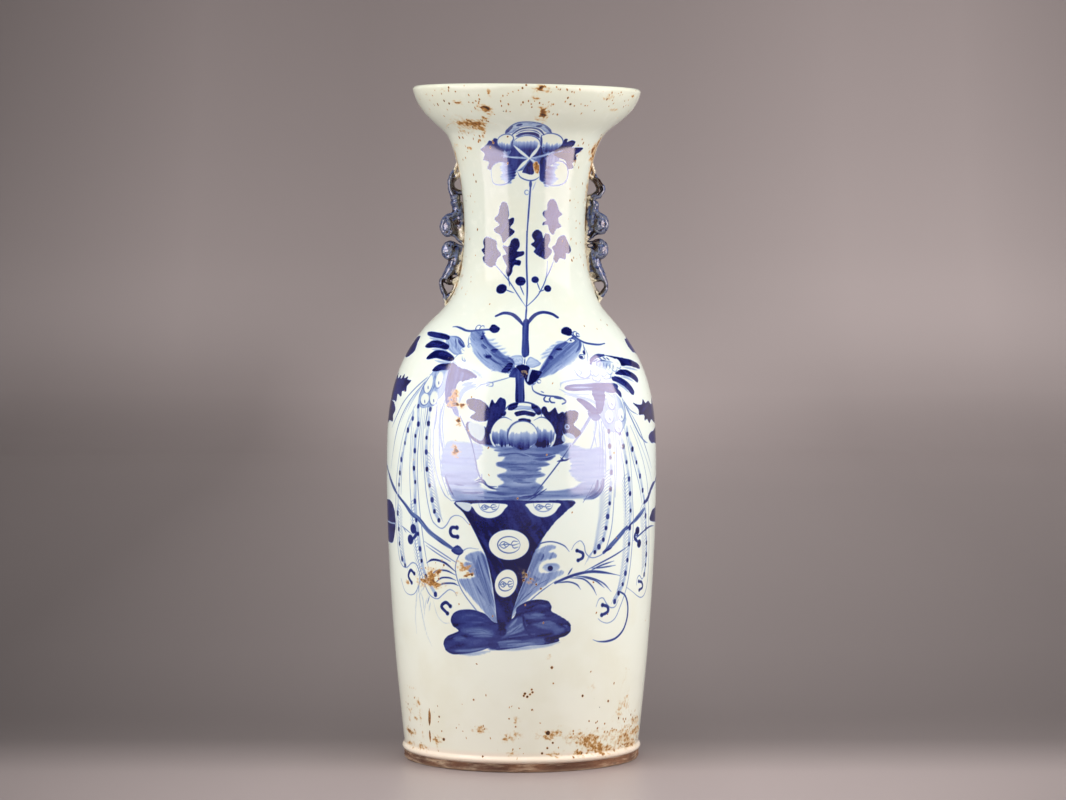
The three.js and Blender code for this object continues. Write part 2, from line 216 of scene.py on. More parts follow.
    def washes(self, shapes, tone, **how):
        for points in shapes:
            self.wash(points, tone, **how)

    def reserve(self, points, keep=0.0, soft=SOFT_EDGE):
        """Glaze left bare inside a closed shape, or with a share of its cobalt kept."""
        box, distance, _, _ = self.shape_field(smooth_line(points, closed=True, steps=4), 2)
        at = np.ix_(np.arange(box[0], box[1]), np.arange(box[2], box[3]) % self.columns)
        self.cobalt[at] *= 1 - (1 - keep) * (1 - ramp(distance, -soft, soft))

    def dots(self, centres, radius, tone=0.92, stretch=1.0, layer=None):
        """Round dabs of the brush, stretched upwards."""
        for degrees, height in centres:
            lift = radius * (stretch - 1) + 0.01
            line = np.array([(degrees, height - lift), (degrees, height + lift)])
            box, distance, _, _ = self.line_field(line, [radius, radius], radius + 2)
            self.lay(box, tone * (1 - ramp(distance, -0.6, 0.6)), layer)


def oval(centre, across, up, lean=0, count=12):
    """Points on an oval. Its half sizes are in degrees across and mm up, and lean moves its top sideways."""
    turns = np.linspace(0, 2 * math.pi, count, endpoint=False)
    return [
        (centre[0] + across * math.cos(a) + lean * math.sin(a), centre[1] + up * math.sin(a)) for a in turns
    ]


# Strengths of cobalt
INK, DEEP, MID, PALE, FAINT = 0.97, 0.85, 0.58, 0.34, 0.2


def paint_top_flower_stem(p):
    p.stroke([(-17.5, 398), (-13, 400.5), (-7, 399.5), (-2.5, 395.5), (1.2, 390)], 3.6, INK, start=0.7, end=0.6)
    p.stroke([(23.5, 396.8), (20, 399.8), (14, 401.2), (8.5, 399), (4.6, 393.5), (3.4, 388)], 3.6, INK, start=0.8)
    p.stroke([(2.6, 408), (2.4, 399), (2.4, 388)], 1.5, DEEP)
    p.wash([(0.9, 394), (4.2, 394), (3.9, 378), (3.8, 365), (0.4, 364), (0.6, 379)], DEEP, angle=90, streak=0.2)
    p.wash([(-2.4, 354), (0, 355), (1.4, 352), (1.3, 340), (1.4, 325.4), (-0.6, 324.6), (-2.4, 325.4), (-2.3, 340)], 0.72,
           angle=90, fade=(1.0, -90), streak=0.4, grain=(0.8, 30))
    p.stroke([(1.9, 362), (1.6, 357)], 0.9, DEEP)
    p.washes([[(-9.8, 361), (-6, 363), (-2.5, 364.8), (0.4, 364), (1.2, 360.5), (0.6, 357), (-2.5, 356.4), (-5.5, 358.6)],
              [(2.2, 357.5), (3.6, 362.4), (5, 363.2), (7.4, 361), (9.4, 357.4), (6.8, 354.6), (4.5, 354)]], 0.26,
             angle=15, streak=0.6, rim=0.25)
    for i in range(5):
        p.strokes([[(-7.6 + 1.7 * i, 361 + 0.2 * i), (-7 + 1.7 * i, 360 + 0.2 * i)],
                   [(-6.4 + 1.6 * i, 359 + 0.3 * i), (-5.9 + 1.6 * i, 358.2 + 0.3 * i)]], 0.6, MID)
    p.wash([(-5.4, 347.7), (-3, 354), (-1.2, 351), (-1.6, 346), (-4.8, 346)], 0.7, angle=50, streak=0.5)
    p.wash([(-2.2, 355), (1, 356.6), (3.6, 355), (4.5, 352.2), (7.1, 352.2), (9.6, 350), (8.2, 345.4), (6.2, 341.5),
            (3.6, 339), (2.2, 341.5), (1.3, 345.4), (-0.7, 351)], INK, angle=-60, streak=0.12, ragged=0.8)
    p.reserve([(3.9, 353), (5.1, 352.6), (3.9, 347.4), (3.3, 342.6), (2.7, 343), (3.2, 348)], 0.2)
    p.strokes([[(5.4, 351.8), (7.4, 346)], [(0.6, 353), (1.8, 347)]], 1.2, 0.8, streak=0.6)
    p.wash(oval((1.3, 348), 1.6, 3), 0.17, ragged=1, soft=1, layer=p.rust)


def shade_below(p, lines):
    """Pale blue shadows under dark feathers."""
    p.strokes(lines, 2.2, PALE, streak=0.4, start=0.3, end=0.3)


def scales(p, places):
    """Tongue-shaped feathers with a shaded lower edge and a dark speck."""
    for centre, across, up in places:
        p.reserve(oval(centre, across, up), 0.15)
        under = [(centre[0] + 1.05 * across * math.cos(a), centre[1] - up * math.sin(a)) for a in np.linspace(-0.4, 3.5, 8)]
        p.stroke(under, 1.2, 0.7, streak=0.4, start=0.2, end=0.2)
        mark = centre[1] - 0.35 * up
        p.stroke([(centre[0], mark + 1.2), (centre[0] + 0.15 * across, mark - 0.8)], 1.0, DEEP, start=0.4, end=0.9)


def paint_left_phoenix(p):
    p.stroke([(-45, 388.2), (-41.7, 388.3), (-37.3, 386.9), (-33.7, 385.4), (-30.1, 384.9), (-25.8, 385.7),
              (-21.5, 386.2), (-17.5, 386.4)], 2.1, DEEP, start=0.4, end=0.9)
    p.wash([(-18.9, 386.1), (-18.9, 388.4), (-18.2, 390.2), (-16.8, 390.6), (-15, 389.7), (-13.2, 388.4), (-12.5, 386.7),
            (-13.4, 384.5), (-15.3, 383.6), (-17.1, 384.5), (-18.4, 385.7)], INK, streak=0.05)
    p.strokes([oval((-26.2, 387.9), 1.5, 2.1) + [(-24.7, 387.9)], oval((-23.7, 387.7), 1.3, 1.9)], 0.8, DEEP)
    p.wash([(-29.5, 385), (-25, 386), (-21.6, 385.5), (-20.4, 380.9), (-17.6, 376.4), (-14, 372), (-11, 368.6),
            (-7.5, 364.4), (-4, 361), (-2.5, 355), (-4, 350), (-8.5, 349.6), (-12.6, 351.6), (-16.4, 355), (-20, 359.9),
            (-23.4, 365.6), (-26.4, 371.9), (-28.6, 378)], 0.68, angle=-47, grain=(0.9, 26), streak=0.5, ragged=0.9,
           fade=(0.32, 215), rim=0.04, soft=0.7)
    p.stroke([(-29, 383.6), (-27.4, 380), (-25, 376)], 2.4, MID, streak=0.5)
    p.stroke([(-22.4, 384), (-20, 378), (-16.5, 372.5), (-12, 367.5), (-7, 362)], 4.6, 0.76, streak=0.5, soft=1)
    p.stroke([(-25.6, 384), (-22, 376), (-17, 368), (-11, 360.5), (-6, 355.5)], 4, 0.6, streak=0.6, soft=1)
    p.washes([oval((-13.4, 368.4), 1.9, 2), oval((-16, 363.6), 1.6, 2.2), oval((-21.6, 380.6), 1.1, 2.6)], 0.9,
             streak=0.3, ragged=1, soft=1)
    p.strokes([[(-23.3, 386), (-21.6, 382), (-19.4, 378), (-16.6, 373.6), (-13.6, 371)],
               [(-15.5, 367.5), (-12.6, 364), (-9, 361), (-4, 358.5)], [(-18, 366.5), (-15, 362), (-11, 358), (-7, 355)]],
              2.2, 0.9, streak=0.35, end=0.3)
    p.strokes([[(-24.6, 383.5), (-22.4, 377), (-18.2, 371)], [(-21, 373), (-17.4, 366), (-13, 360)],
               [(-23.8, 370), (-19, 362), (-12.8, 355)], [(-18.6, 359.8), (-13.6, 354.6), (-9, 352.4)]], 1.5, MID,
              streak=0.5)
    p.strokes([[(-15.8, 370), (-14, 368), (-12.4, 366.8)], [(-19, 365), (-16.8, 363), (-14.4, 361.4)],
               [(-21.2, 374), (-19.4, 371.8), (-17.4, 370)]], 3.4, 0.9, streak=0.5, start=0.3, end=0.2, soft=0.8)
    p.strokes([[(-18, 375.6), (-14.6, 374.4), (-11.8, 375.4)], [(-16.4, 373), (-13.4, 371.8), (-9.6, 373)],
               [(-14, 370.3), (-11, 369.4), (-7.6, 370.8)], [(-12, 367.3), (-9.4, 366.4), (-6.4, 367.4)],
               [(-10.2, 364.4), (-7.6, 363.6), (-5.2, 364.4)], [(-19.4, 378), (-16.4, 377.4), (-14, 378.4)]],
              2.2, 0.36, streak=0.5, start=0.9, end=0.05, soft=0.9)
    p.strokes([[(-13, 364.5), (-8, 361.6), (-3.4, 361.6)], [(-9.4, 359.6), (-5, 358.6)]], 1.2, DEEP, end=0.3)
    p.strokes([[(-29.8, 381), (-29, 375.6), (-27.2, 371.2)], oval((-27.6, 372.6), 0.9, 1.6),
               [(-30, 363), (-29.2, 360), (-27.6, 359.2), (-28.8, 362)], [(-34, 361.8), (-32.4, 365), (-29.8, 365.6)],
               [(-15, 355.2), (-12.5, 354.6), (-12.3, 352), (-13.8, 351)]], 0.8, MID)
    p.wash([(-9.2, 350.6), (-7.6, 355), (-5.6, 358.4), (-3.7, 357.4), (-4.4, 353), (-6.4, 349.8)], INK)
    p.strokes([[(-20.4, 335.2), (-17.6, 339.3), (-13, 341.4), (-7.4, 344.4), (-3, 347)],
               [(-15, 341.8), (-12.7, 341), (-12.6, 338.4), (-14.4, 337.8)], [(-14, 339.6), (-15.6, 338.4)]], 0.9, MID)


def paint_left_wing(p):
    p.washes([[(-67.5, 382.2), (-64, 383.4), (-57.5, 383.2), (-50, 382.4), (-44, 380.6), (-42.2, 378.4), (-43.2, 376.8),
               (-50, 377.8), (-57, 378.6), (-63, 379.8)],
              [(-59.6, 370.8), (-57.4, 374.6), (-52, 376.2), (-46.6, 375.4), (-41.4, 373.2), (-39.8, 371), (-41, 368.6),
               (-46, 369.6), (-51.4, 370), (-56, 369.4)],
              [(-53.2, 360.6), (-51, 365.4), (-47.4, 367.8), (-41.6, 367.4), (-36.6, 364.6), (-34.2, 361.6), (-35.2, 358.8),
               (-40, 359.6), (-46, 361.2), (-50.6, 359.8)],
              [(-45.6, 350.2), (-44.2, 354.2), (-41.4, 356.2), (-38, 356.6), (-35, 356.8), (-35.4, 351.4), (-39.6, 350.6),
               (-43, 349.6)]], INK, streak=0.12, angle=-6, grain=(1.2, 18), rim=0.05)
    p.strokes([[(-56, 374.6), (-50, 375)], [(-50, 365.6), (-44, 366)]], 1.6, 0.75, streak=0.4)
    shade_below(p, [[(-60, 378), (-52, 376.8), (-46, 376.4)], [(-52, 368.4), (-46, 368), (-40, 367.4)],
                    [(-46, 359), (-40, 357.8), (-36, 358)]])
    p.stroke([(-28.8, 351.9), (-25, 349.6), (-21, 346)], 4, INK, start=0.6, end=0.7)
    p.stroke([(-23.6, 352.4), (-20, 349), (-17.6, 345)], 2.6, FAINT)
    p.wash([(-44, 380), (-38, 379.6), (-33, 376.6), (-30, 371.6), (-32, 369.4), (-31, 366.4), (-34, 364.8), (-37, 366.4),
            (-41, 370), (-44.2, 376)], 0.3, angle=-45, grain=(0.8, 12), streak=0.6)
    p.strokes([[(-43.6, 380.4), (-37, 379.4), (-32.4, 375.4), (-30, 371)], [(-38.6, 379), (-36.2, 374), (-34.8, 368.8)]],
              1.4, DEEP, streak=0.4)
    p.stroke([(-36, 377.8), (-33.6, 374.4), (-30.8, 371.4)], 2.6, DEEP, start=0.3, end=0.7)
    p.strokes([[(-42, 373.6), (-38.6, 369), (-34.6, 365), (-30.4, 365.8)], [(-41.4, 378), (-38.8, 373), (-36.4, 367.6)],
               [(-43, 376.6), (-40, 371.8)], [(-34.4, 371), (-32, 367.6)]], 0.9, MID)
    p.strokes([[(-36.5, 363), (-34.5, 359), (-31, 356.6)], [(-31.6, 369.6), (-29.4, 367.6)]], 0.7, PALE)
    p.wash([(-35.4, 357), (-31, 355), (-28.2, 351.8), (-21.6, 345.6), (-26, 342.4), (-29.4, 340), (-29.6, 332), (-28.6, 324),
            (-31, 318.6), (-34, 322), (-35.6, 335), (-35.8, 347)], 0.8, angle=75, streak=0.25, grain=(1.4, 16), ragged=0.9)
    p.strokes([[(-20.4, 339.4), (-25, 336.4), (-28, 330)], [(-22, 341), (-27, 338.6)]], 3, PALE, streak=0.4)


def paint_left_rump(p):
    p.stroke([(-27.3, 324), (-26.6, 331), (-23.8, 336.2), (-20.1, 337.6)], 3.4, 0.36, streak=0.5, start=0.5)
    p.stroke([(-30.8, 326), (-30, 321), (-28.8, 316.4), (-27, 311)], 5, 0.62, start=0.9, end=0.2, streak=0.3)
    p.stroke([(-34.4, 327), (-36, 315.1), (-36.4, 305), (-35.8, 295), (-34.5, 285.1), (-34, 277)], 2.2, 0.5, streak=0.4)
    p.wash([(-44.5, 350), (-37, 352), (-34.8, 341), (-36.6, 329), (-43, 319), (-49, 319), (-50, 331), (-47.8, 342)],
           0.26, angle=78, streak=0.5, grain=(0.8, 14), rim=0.12)
    p.strokes([[(-46, 333), (-44, 329.6), (-41, 330.4)], [(-43.4, 349), (-41.6, 340), (-42.6, 333)]], 2.8, MID, streak=0.5,
              soft=0.8)
    scales(p, [((-45.8, 338.4), 2.6, 8.2), ((-39.8, 342.4), 2.1, 7.2), ((-46.4, 325.2), 2.6, 5.2), ((-41, 326.6), 2.3, 6.2)])
    p.strokes([[(-44.6, 349.6), (-47.8, 340), (-50.2, 329), (-50, 321)], [(-42.6, 349), (-43.4, 342)],
               [(-43.8, 324), (-43.8, 312), (-44.6, 300)], [(-38.8, 324), (-38.4, 312), (-39, 300)]], 1.1, MID)


def paint_right_phoenix(p):
    p.wash([(23.2, 383.2), (23.8, 386.4), (26, 388.2), (28.5, 388.3), (30.2, 386.3), (30, 383.7), (28.6, 381.2),
            (26.8, 380.8), (25.4, 381.6)], INK, streak=0.05)
    p.strokes([oval((31.9, 382.3), 1.6, 2.1) + [(33.5, 382.3)], oval((33.2, 381.4), 1.1, 1.5)], 1.1, DEEP)
    p.stroke([(29, 382), (31, 379.4), (33.4, 376.6), (36, 374.6), (40, 373.4), (44.8, 372.8), (49.6, 373.6)], 2.1, DEEP,
             start=0.9, end=0.5)
    p.wash([(6.4, 345.8), (9.8, 351), (12.2, 357.8), (14.6, 363.8), (17.8, 369.6), (20.4, 373), (24.4, 376), (30, 380.8),
            (33.6, 375.8), (32, 370), (28.8, 363), (24.8, 357.4), (20, 353), (14.4, 348.6), (9.4, 345.2)], 0.72, angle=42,
           grain=(0.9, 26), streak=0.5, ragged=0.9, fade=(0.26, -45), rim=0.04, soft=0.7)
    p.stroke([(24, 376), (19, 371.5), (15, 364), (11, 355), (7, 347)], 4.6, 0.84, streak=0.45, soft=1)
    p.stroke([(29, 375), (23, 369), (18, 361), (13, 352)], 3.6, 0.62, streak=0.6, soft=1)
    p.washes([oval((19.4, 369.6), 1.8, 1.8), oval((14.6, 362), 1.4, 2.6)], 0.9, streak=0.3, ragged=1, soft=1)
    p.strokes([[(30, 380), (24.4, 375.4), (20, 372.2), (16, 367), (12.8, 360), (9.6, 351.6), (6, 345)],
               [(33, 377), (31.6, 371.6), (28, 366)]], 2.6, DEEP, streak=0.35, start=0.7)
    p.strokes([[(19, 369.6), (13.6, 361.4), (10.4, 353)], [(16, 360.6), (12.4, 353.4), (8.4, 347)]], 2.8, 0.8, streak=0.5)
    p.strokes([[(28, 373.6), (21, 368), (15.6, 360)], [(30.4, 371), (24, 363.4), (17, 355)], [(25.6, 364), (19, 357), (12, 350)],
               [(23, 371), (18, 364.6)]], 1.6, MID, streak=0.5)
    p.strokes([[(21, 373.4), (17.6, 373), (14.6, 371.4)], [(18.6, 371), (15, 370), (11.6, 367.6)],
               [(16.4, 368), (13, 366.8), (9.4, 364.6)], [(14.8, 364.8), (12, 363.6), (9, 361)],
               [(23.4, 375.6), (20.6, 375.8), (18, 374.8)]], 2.2, 0.36, streak=0.5, start=0.9, end=0.05, soft=0.9)
    p.reserve([(24.6, 376.2), (27.4, 378.2), (29.8, 377.2), (28.8, 375.4), (26.4, 374.8)], 0.15)
    p.dots([(27.4, 376.9)], 0.9, INK)
    p.strokes([[(24.4, 376), (27.4, 378.6), (30.2, 377.2), (28.4, 374.9), (25.4, 374.9)], [(34.4, 374.4), (33.8, 369.8),
               (33.2, 365.6), (31.4, 364.6)], oval((31, 362.8), 1.6, 1.9) + [(32.6, 362.8)]], 0.9, DEEP)
    p.washes([oval((30.6, 362.6), 1, 1.2), oval((33, 366.4), 0.7, 2)], DEEP)
    p.strokes([[(34.4, 371), (34.6, 364), (33.2, 358)], [(27.4, 352), (28.8, 349.6), (27.6, 347)],
               [(33, 352.4), (34.4, 349)]], 0.6, MID)
    p.strokes([[(4.8, 338.6), (5.4, 334.4), (8, 331.4), (10.8, 330), (16, 328.9), (18.8, 326.6), (19.4, 324.2), (17.8, 322.7)],
               [(11, 330), (9.9, 327.4), (10.4, 325.2), (11.8, 324.7)], [(12.9, 329.4), (12.3, 326.6), (13, 324.4), (14.4, 324)],
               [(14.4, 328.4), (17.4, 327.2)]], 1.4, DEEP, start=0.5, end=0.8)
    p.strokes([oval((8, 342.4), 0.9, 1.5), [(8.6, 333.8), (10, 332.6)], [(5, 339), (6.6, 341)]], 0.8, DEEP)


def paint_right_wing(p):
    p.washes([[(44.8, 363.8), (52, 362.2), (60, 360.4), (68, 357.8), (74.4, 354.8), (76.6, 352.4), (74.4, 350),
               (68, 351.6), (60, 353.8), (55.4, 354), (53.2, 359.6)],
              [(48.6, 347.6), (52.8, 350.6), (57.6, 350.3), (62.4, 347.7), (65.6, 344.8), (67.2, 341), (65.2, 338.4),
               (62.2, 341), (57.6, 344.5), (52.8, 345.8)],
              [(45.6, 344.8), (49.6, 344.8), (54.4, 341.4), (57.6, 337.2), (59.8, 332), (59.2, 328.8), (57.2, 328.8),
               (55, 332.7), (52, 336.8), (48, 340.2), (45.6, 341.6)],
              [(45, 336.4), (47.2, 335), (49.4, 330.6), (49, 326.6), (47, 329.7), (45.2, 332.7)]], INK, streak=0.12,
             angle=-30, grain=(1.2, 18), rim=0.05)
    shade_below(p, [[(56, 352.6), (62, 351.2), (70, 349)], [(52, 344.6), (57, 343), (61.6, 339.4)],
                    [(48, 339), (52, 335.4), (55, 330.6)]])
    p.stroke([(34.9, 356.6), (36.4, 360.4), (40.4, 363.2), (45, 363.6)], 3.6, INK, start=0.6, end=0.6)
    p.strokes([[(36.6, 358.2), (40, 360.2)], [(41, 361.6), (42.6, 359.6)], [(43.6, 362), (45.4, 359.8)],
               [(46, 361.4), (47.6, 359.4)], [(38.4, 357.6), (42, 359.2), (46, 358.4)]], 1.5, DEEP, streak=0.3)
    p.wash([(38, 357.6), (46, 359), (50, 356), (45, 351.6), (40, 352)], 0.24, streak=0.6, angle=30)
    for centre, across, up in [((52.8, 356), 2.4, 4.2), ((49, 353.2), 2.2, 3.8), ((45, 350.6), 2, 3.6), ((40.8, 349), 2, 3.4),
                               ((36.4, 349.6), 1.8, 3.6)]:
        p.reserve(oval(centre, across, up), 0.1)
        p.stroke(oval(centre, across, up)[6:] + [(centre[0] + across, centre[1])], 0.7, MID)
        p.strokes([[(centre[0] - 0.3 * across, centre[1] + 1.4), (centre[0] + 0.3 * across, centre[1] - 0.6)]], 0.5, PALE)
    p.strokes([[(34, 352.6), (33.6, 347.6), (36.4, 344.8)], [(33.4, 344.6), (30, 343.8)]], 0.7, MID)
    p.washes([[(19.4, 336), (21, 338.6), (28, 340), (38.4, 340), (46, 339.8), (48, 335), (44, 331), (38, 333.2),
               (30, 333.8), (22.4, 333.8)],
              [(32.6, 334), (39, 334), (38.6, 323.6), (36.4, 314.6), (34, 314.6), (33.6, 323.6)],
              [(24.6, 327), (29, 325), (34, 317), (33, 312), (29, 318)]], 0.78, streak=0.25, angle=-5, grain=(1.5, 20),
             ragged=0.9)
    p.reserve([(21.6, 336.6), (27, 335.9), (33, 336.3), (27, 337)], 0.35)
    p.strokes([[(17.6, 337), (18.6, 341), (26, 343.4), (36, 343.6)], [(17, 335.6), (22, 331), (31, 330.4)],
               [(24, 328.4), (29, 327)], [(40, 332), (44, 327), (45, 322)]], 1.6, PALE, streak=0.5)


def paint_right_leg_and_plumes(p):
    """The right bird's leg, the joint that its plumes grow from and the scallops under its wing."""
    p.wash([(29.4, 316.4), (33, 315.4), (35.8, 310.4), (33.6, 307.4), (30.6, 309.6)], 0.62, streak=0.3, ragged=0.6)
    p.stroke([(32, 314.6), (30.6, 311.6), (27.8, 303.7), (24.9, 296), (21.8, 287.7)], 2.6, 0.6, start=0.9, end=0.5, streak=0.4)
    p.strokes([[(33.4, 309), (32.5, 297.8), (30.4, 284.4), (27.4, 274.4)], [(34.6, 308.9), (34.8, 290.8), (34.5, 270.5),
               (33.8, 256.9)], [(35.9, 306.6), (36.1, 288.5), (35.8, 268.1), (35.2, 256.8)],
               [(36.9, 302), (37.5, 283.8), (37.6, 267.9), (37.6, 256.6)]], 1.3, 0.52, start=0.8, streak=0.4)
    p.stroke([(19.2, 331), (24.6, 328.6), (30.9, 325.5), (35.9, 319), (37.4, 311), (39.1, 305.2)], 2.6, 0.36, streak=0.6)
    p.strokes([[(25.4, 351.6), (26.6, 347), (30, 344.2), (33, 346.6), (33.6, 350.6)], [(33.7, 347.4), (34.4, 342.8),
               (37.5, 341.5), (39.3, 345.8)], [(39.4, 346.4), (41, 343.4), (44.4, 343.8), (45.6, 347.6)]], 1.3, 0.5)
    p.strokes([[(x, 358.4 - 0.35 * (x - 39)), (x - 1.2, 354.6 - 0.35 * (x - 39))] for x in (39, 41, 43, 45, 47, 49)], 0.8,
              DEEP, start=0.8)


def paint_right_rump(p):
    p.wash([(36, 324), (41, 327), (46, 330), (49.6, 318), (49.4, 302), (45, 297), (39, 299), (35.6, 311)],
           0.26, angle=-72, streak=0.5, grain=(0.8, 14), rim=0.12)
    scales(p, [((42.4, 323.6), 2.2, 7), ((40.4, 310.6), 2.4, 6.2), ((47.6, 311.8), 1.9, 6), ((45.4, 301.6), 2.4, 5.6)])
    p.strokes([[(28, 327), (32, 318), (33, 306), (32, 297)], [(24, 330), (29.5, 322), (31, 312)]], 2.4, PALE, streak=0.4)
    p.stroke([(49.4, 327), (50.4, 316), (50, 304)], 1.1, MID)


def paint_peony(p):
    """The bloom in the bowl, with the leaves behind it."""
    p.washes([[(-16, 289), (-15.6, 298), (-14.5, 303), (-13.8, 311), (-13.6, 319), (-12.5, 326.5), (-11, 323.5),
               (-9, 328.5), (-6.6, 326), (-6.6, 318), (-8.5, 309), (-9, 298), (-10, 288)],
              [(8.5, 317), (10.3, 321), (11.8, 316), (14.6, 319.8), (15.8, 314.5), (18.2, 315.5), (18.6, 305),
               (17.5, 298), (18.6, 290), (12, 286.5), (10, 297), (11.5, 306)],
              [(-24, 325.5), (-20.5, 327.5), (-16, 324.5), (-13, 317), (-14, 309), (-18, 308), (-21.8, 311), (-19.5, 315.5),
               (-22.5, 319)],
              [(18.2, 314), (21, 317), (24.6, 315.5), (24, 309), (22.5, 304.5), (25.8, 297.5), (22, 292.5), (18, 296.5),
               (17.2, 305)],
              [(-23, 307), (-22.5, 296), (-17, 288), (-14, 290), (-15, 303)]], INK, streak=0.08, angle=80)
    p.reserve([(-22.3, 306.5), (-21.5, 297), (-17, 291), (-15.2, 296), (-15.5, 304), (-18, 307)], 0.12)
    p.reserve([(17.5, 296), (20.5, 297.5), (23, 293.5), (20, 289), (17.3, 291)], 0.25)
    p.reserve(oval((19.5, 303), 1.1, 2.4), 0.3)
    p.dots([(19.5, 303)], 1.3, INK)
    p.strokes([[(6.3, 322), (8.8, 314.5)], [(5.8, 317.5), (8.5, 312)]], 3, INK)
    crown = [(-7.6, 311), (-6.8, 317.5), (-4.2, 322.6), (0.5, 324.6), (5, 323), (7.8, 318), (8.8, 311)]
    p.reserve(crown + [(6, 306), (-5, 306)])
    p.wash([(-5.2, 318.4), (-2.4, 321), (1, 321.6), (4.4, 320.6), (6.4, 316.4), (4, 317.4), (0.6, 318.4), (-3, 317.6)], 0.3,
           streak=0.6, angle=10, grain=(0.8, 8))
    p.stroke(crown, 1.3, DEEP)
    p.washes([[(-5.6, 318.2), (-5, 321.9), (-3, 323.7), (-1.2, 324.1), (-1.5, 320.6), (-3, 317.9), (-4.5, 317.3)],
              [(4.3, 323.7), (6.2, 322.4), (8, 318.5), (8.6, 315), (7.4, 313), (5.8, 316), (4.4, 319.6)],
              [(-2.7, 315.5), (-0.7, 317.3), (3.3, 317), (6.1, 315), (5.4, 311.9), (3.4, 313.2), (0.6, 313.4), (-1.8, 312.6)],
              [(-0.4, 310), (3.4, 310), (3.8, 307.3), (-0.6, 307.3)],
              [(-8.8, 313), (-7.4, 317), (-6.2, 316.4), (-6.8, 312.6)]], INK, streak=0.2, angle=15, ragged=0.8)
    p.stroke([(0.4, 315.4), (3, 315.2)], 1.1, 0.6)
    for side in (-1, 1):
        petal = oval((0.8 + 8.6 * side, 299.5), 4.7, 12.4, -1.5 * side)
        p.reserve(petal)
        low = [(5, 300.5), (6.4, 302), (7.8, 300), (9, 301.4), (10.4, 299), (11.8, 300), (13, 296), (12.2, 289), (7.5, 286),
               (3.5, 290)]
        spiky_shade(p, [(0.8 + side * d, z) for d, z in low], 0.3)
        p.stroke([(0.8 + side * d, z) for d, z in [(4.6, 309), (7.6, 311.6), (10.6, 309.4), (12.9, 303), (13.4, 296)]],
                 0.9, DEEP)
        p.reserve([(0.8 + side * d, z) for d, z in [(13.3, 297), (13.9, 296), (13, 289), (11.6, 286), (11.4, 287), (12.6, 291)]],
                  0.1)
    disc = oval((0.7, 296), 6.2, 12.6, count=16)
    p.reserve(disc)
    spiky_shade(p, [(-5.2, 296), (-4, 298.4), (-1.7, 298), (0.8, 298.6), (3.2, 298), (5.6, 298.2), (6.6, 295), (5.9, 289),
                    (3.6, 285), (0.8, 283.6), (-2.4, 285), (-4.8, 289)], 0.24)
    p.stroke(disc + disc[:1], 1.5, DEEP, streak=0.3)
    p.wash(oval((0.7, 285.4), 2.8, 2.6), INK, rim=0)


def paint_bowl(p):
    """The wide bowl that the bloom stands in, brushed in level strokes."""
    level = dict(angle=0, grain=(1.5, 24), ragged=1.5, rim=0, soft=1)
    p.washes([[(-33, 288), (-26, 289.5), (-17, 288), (-16, 281), (-19, 272), (-17.5, 262), (-22, 256), (-34, 259),
               (-35, 272)],
              [(19, 288), (28, 283), (36, 283), (37, 270), (36, 256), (26, 255), (20.5, 262), (21, 272), (16, 280)]],
             0.36, streak=0.4, **level)
    p.wash([(-11, 283), (-6, 285), (8, 285), (13, 281), (9, 276), (11.5, 271), (6.5, 267), (10, 262), (6, 257),
            (9, 251), (6, 246), (-6, 245), (-11, 249), (-7, 255), (-9.5, 261), (-6, 266), (-10, 271), (-6.5, 277)],
           0.5, streak=0.45, **level)
    p.wash([(-33, 260), (-28, 261), (-20, 257), (-16, 251), (-10, 248), (0, 248), (14, 247.5), (22, 249), (27, 255),
            (36, 256), (35.5, 246), (31, 240.5), (20, 239.5), (0, 238.5), (-20, 238.5), (-29.5, 240)], 0.42,
           streak=0.5, **level)
    p.wash([(-17, 289), (-5, 287), (6, 287.5), (19, 287), (18, 282), (14, 280), (2, 282.5), (-9, 283)], 0.6,
           streak=0.35, **level)
    brush = dict(start=0.5, end=0.4, streak=0.55, soft=0.9)
    p.strokes([[(-9, 278.5), (-2, 279.5), (3, 278)], [(-8, 272), (1, 271.5), (9, 273)], [(-4, 266), (4, 265.5), (8, 267)],
               [(-9, 261), (0, 260), (8, 262)], [(-3, 256.5), (5, 255.5)], [(-9, 251.5), (1, 250.5), (8, 252.5)],
               [(5, 275.5), (10.5, 275.5), (14, 278)]], 3.6, 0.82, **brush)
    p.strokes([[(-8, 283.5), (0, 284.5)], [(-7, 269), (2, 268)], [(-6, 257.5), (2, 258.5)], [(0, 263), (8, 264)],
               [(-31, 247), (-22, 245.5), (-14, 247)], [(-20, 243), (-8, 242), (4, 243)], [(8, 243.5), (20, 243), (30, 245)],
               [(-30, 253), (-24, 252)]], 2.4, 0.8, **brush)
    p.strokes([[(-15, 241.5), (-6, 241), (6, 242)], [(-14, 246.5), (-5, 245), (5, 246.5)]], 3.6, 0.84, **brush)
    p.stroke([(1.5, 280.5), (8, 278.2), (14.5, 279.8)], 2.8, DEEP, streak=0.4)
    p.strokes([[(36.4, 256), (35.2, 247.5), (32, 242.3), (27, 239.6)], [(33.4, 255), (32.6, 248), (29, 243)]], 4.4, 0.88,
              start=0.6, streak=0.45, soft=0.8)
    p.strokes([[(-33.5, 262), (-31.5, 251), (-28.5, 241)]], 2.2, DEEP, streak=0.4, soft=0.7)
    p.strokes([[(32, 256), (29.5, 246), (26.5, 237)], [(36, 258), (34.5, 250)]], 0.8, DEEP)
    p.strokes([[(-29.5, 238.2), (-20, 238.5), (-5, 238)], [(7, 238.5), (22, 239)]], 1.4, DEEP)


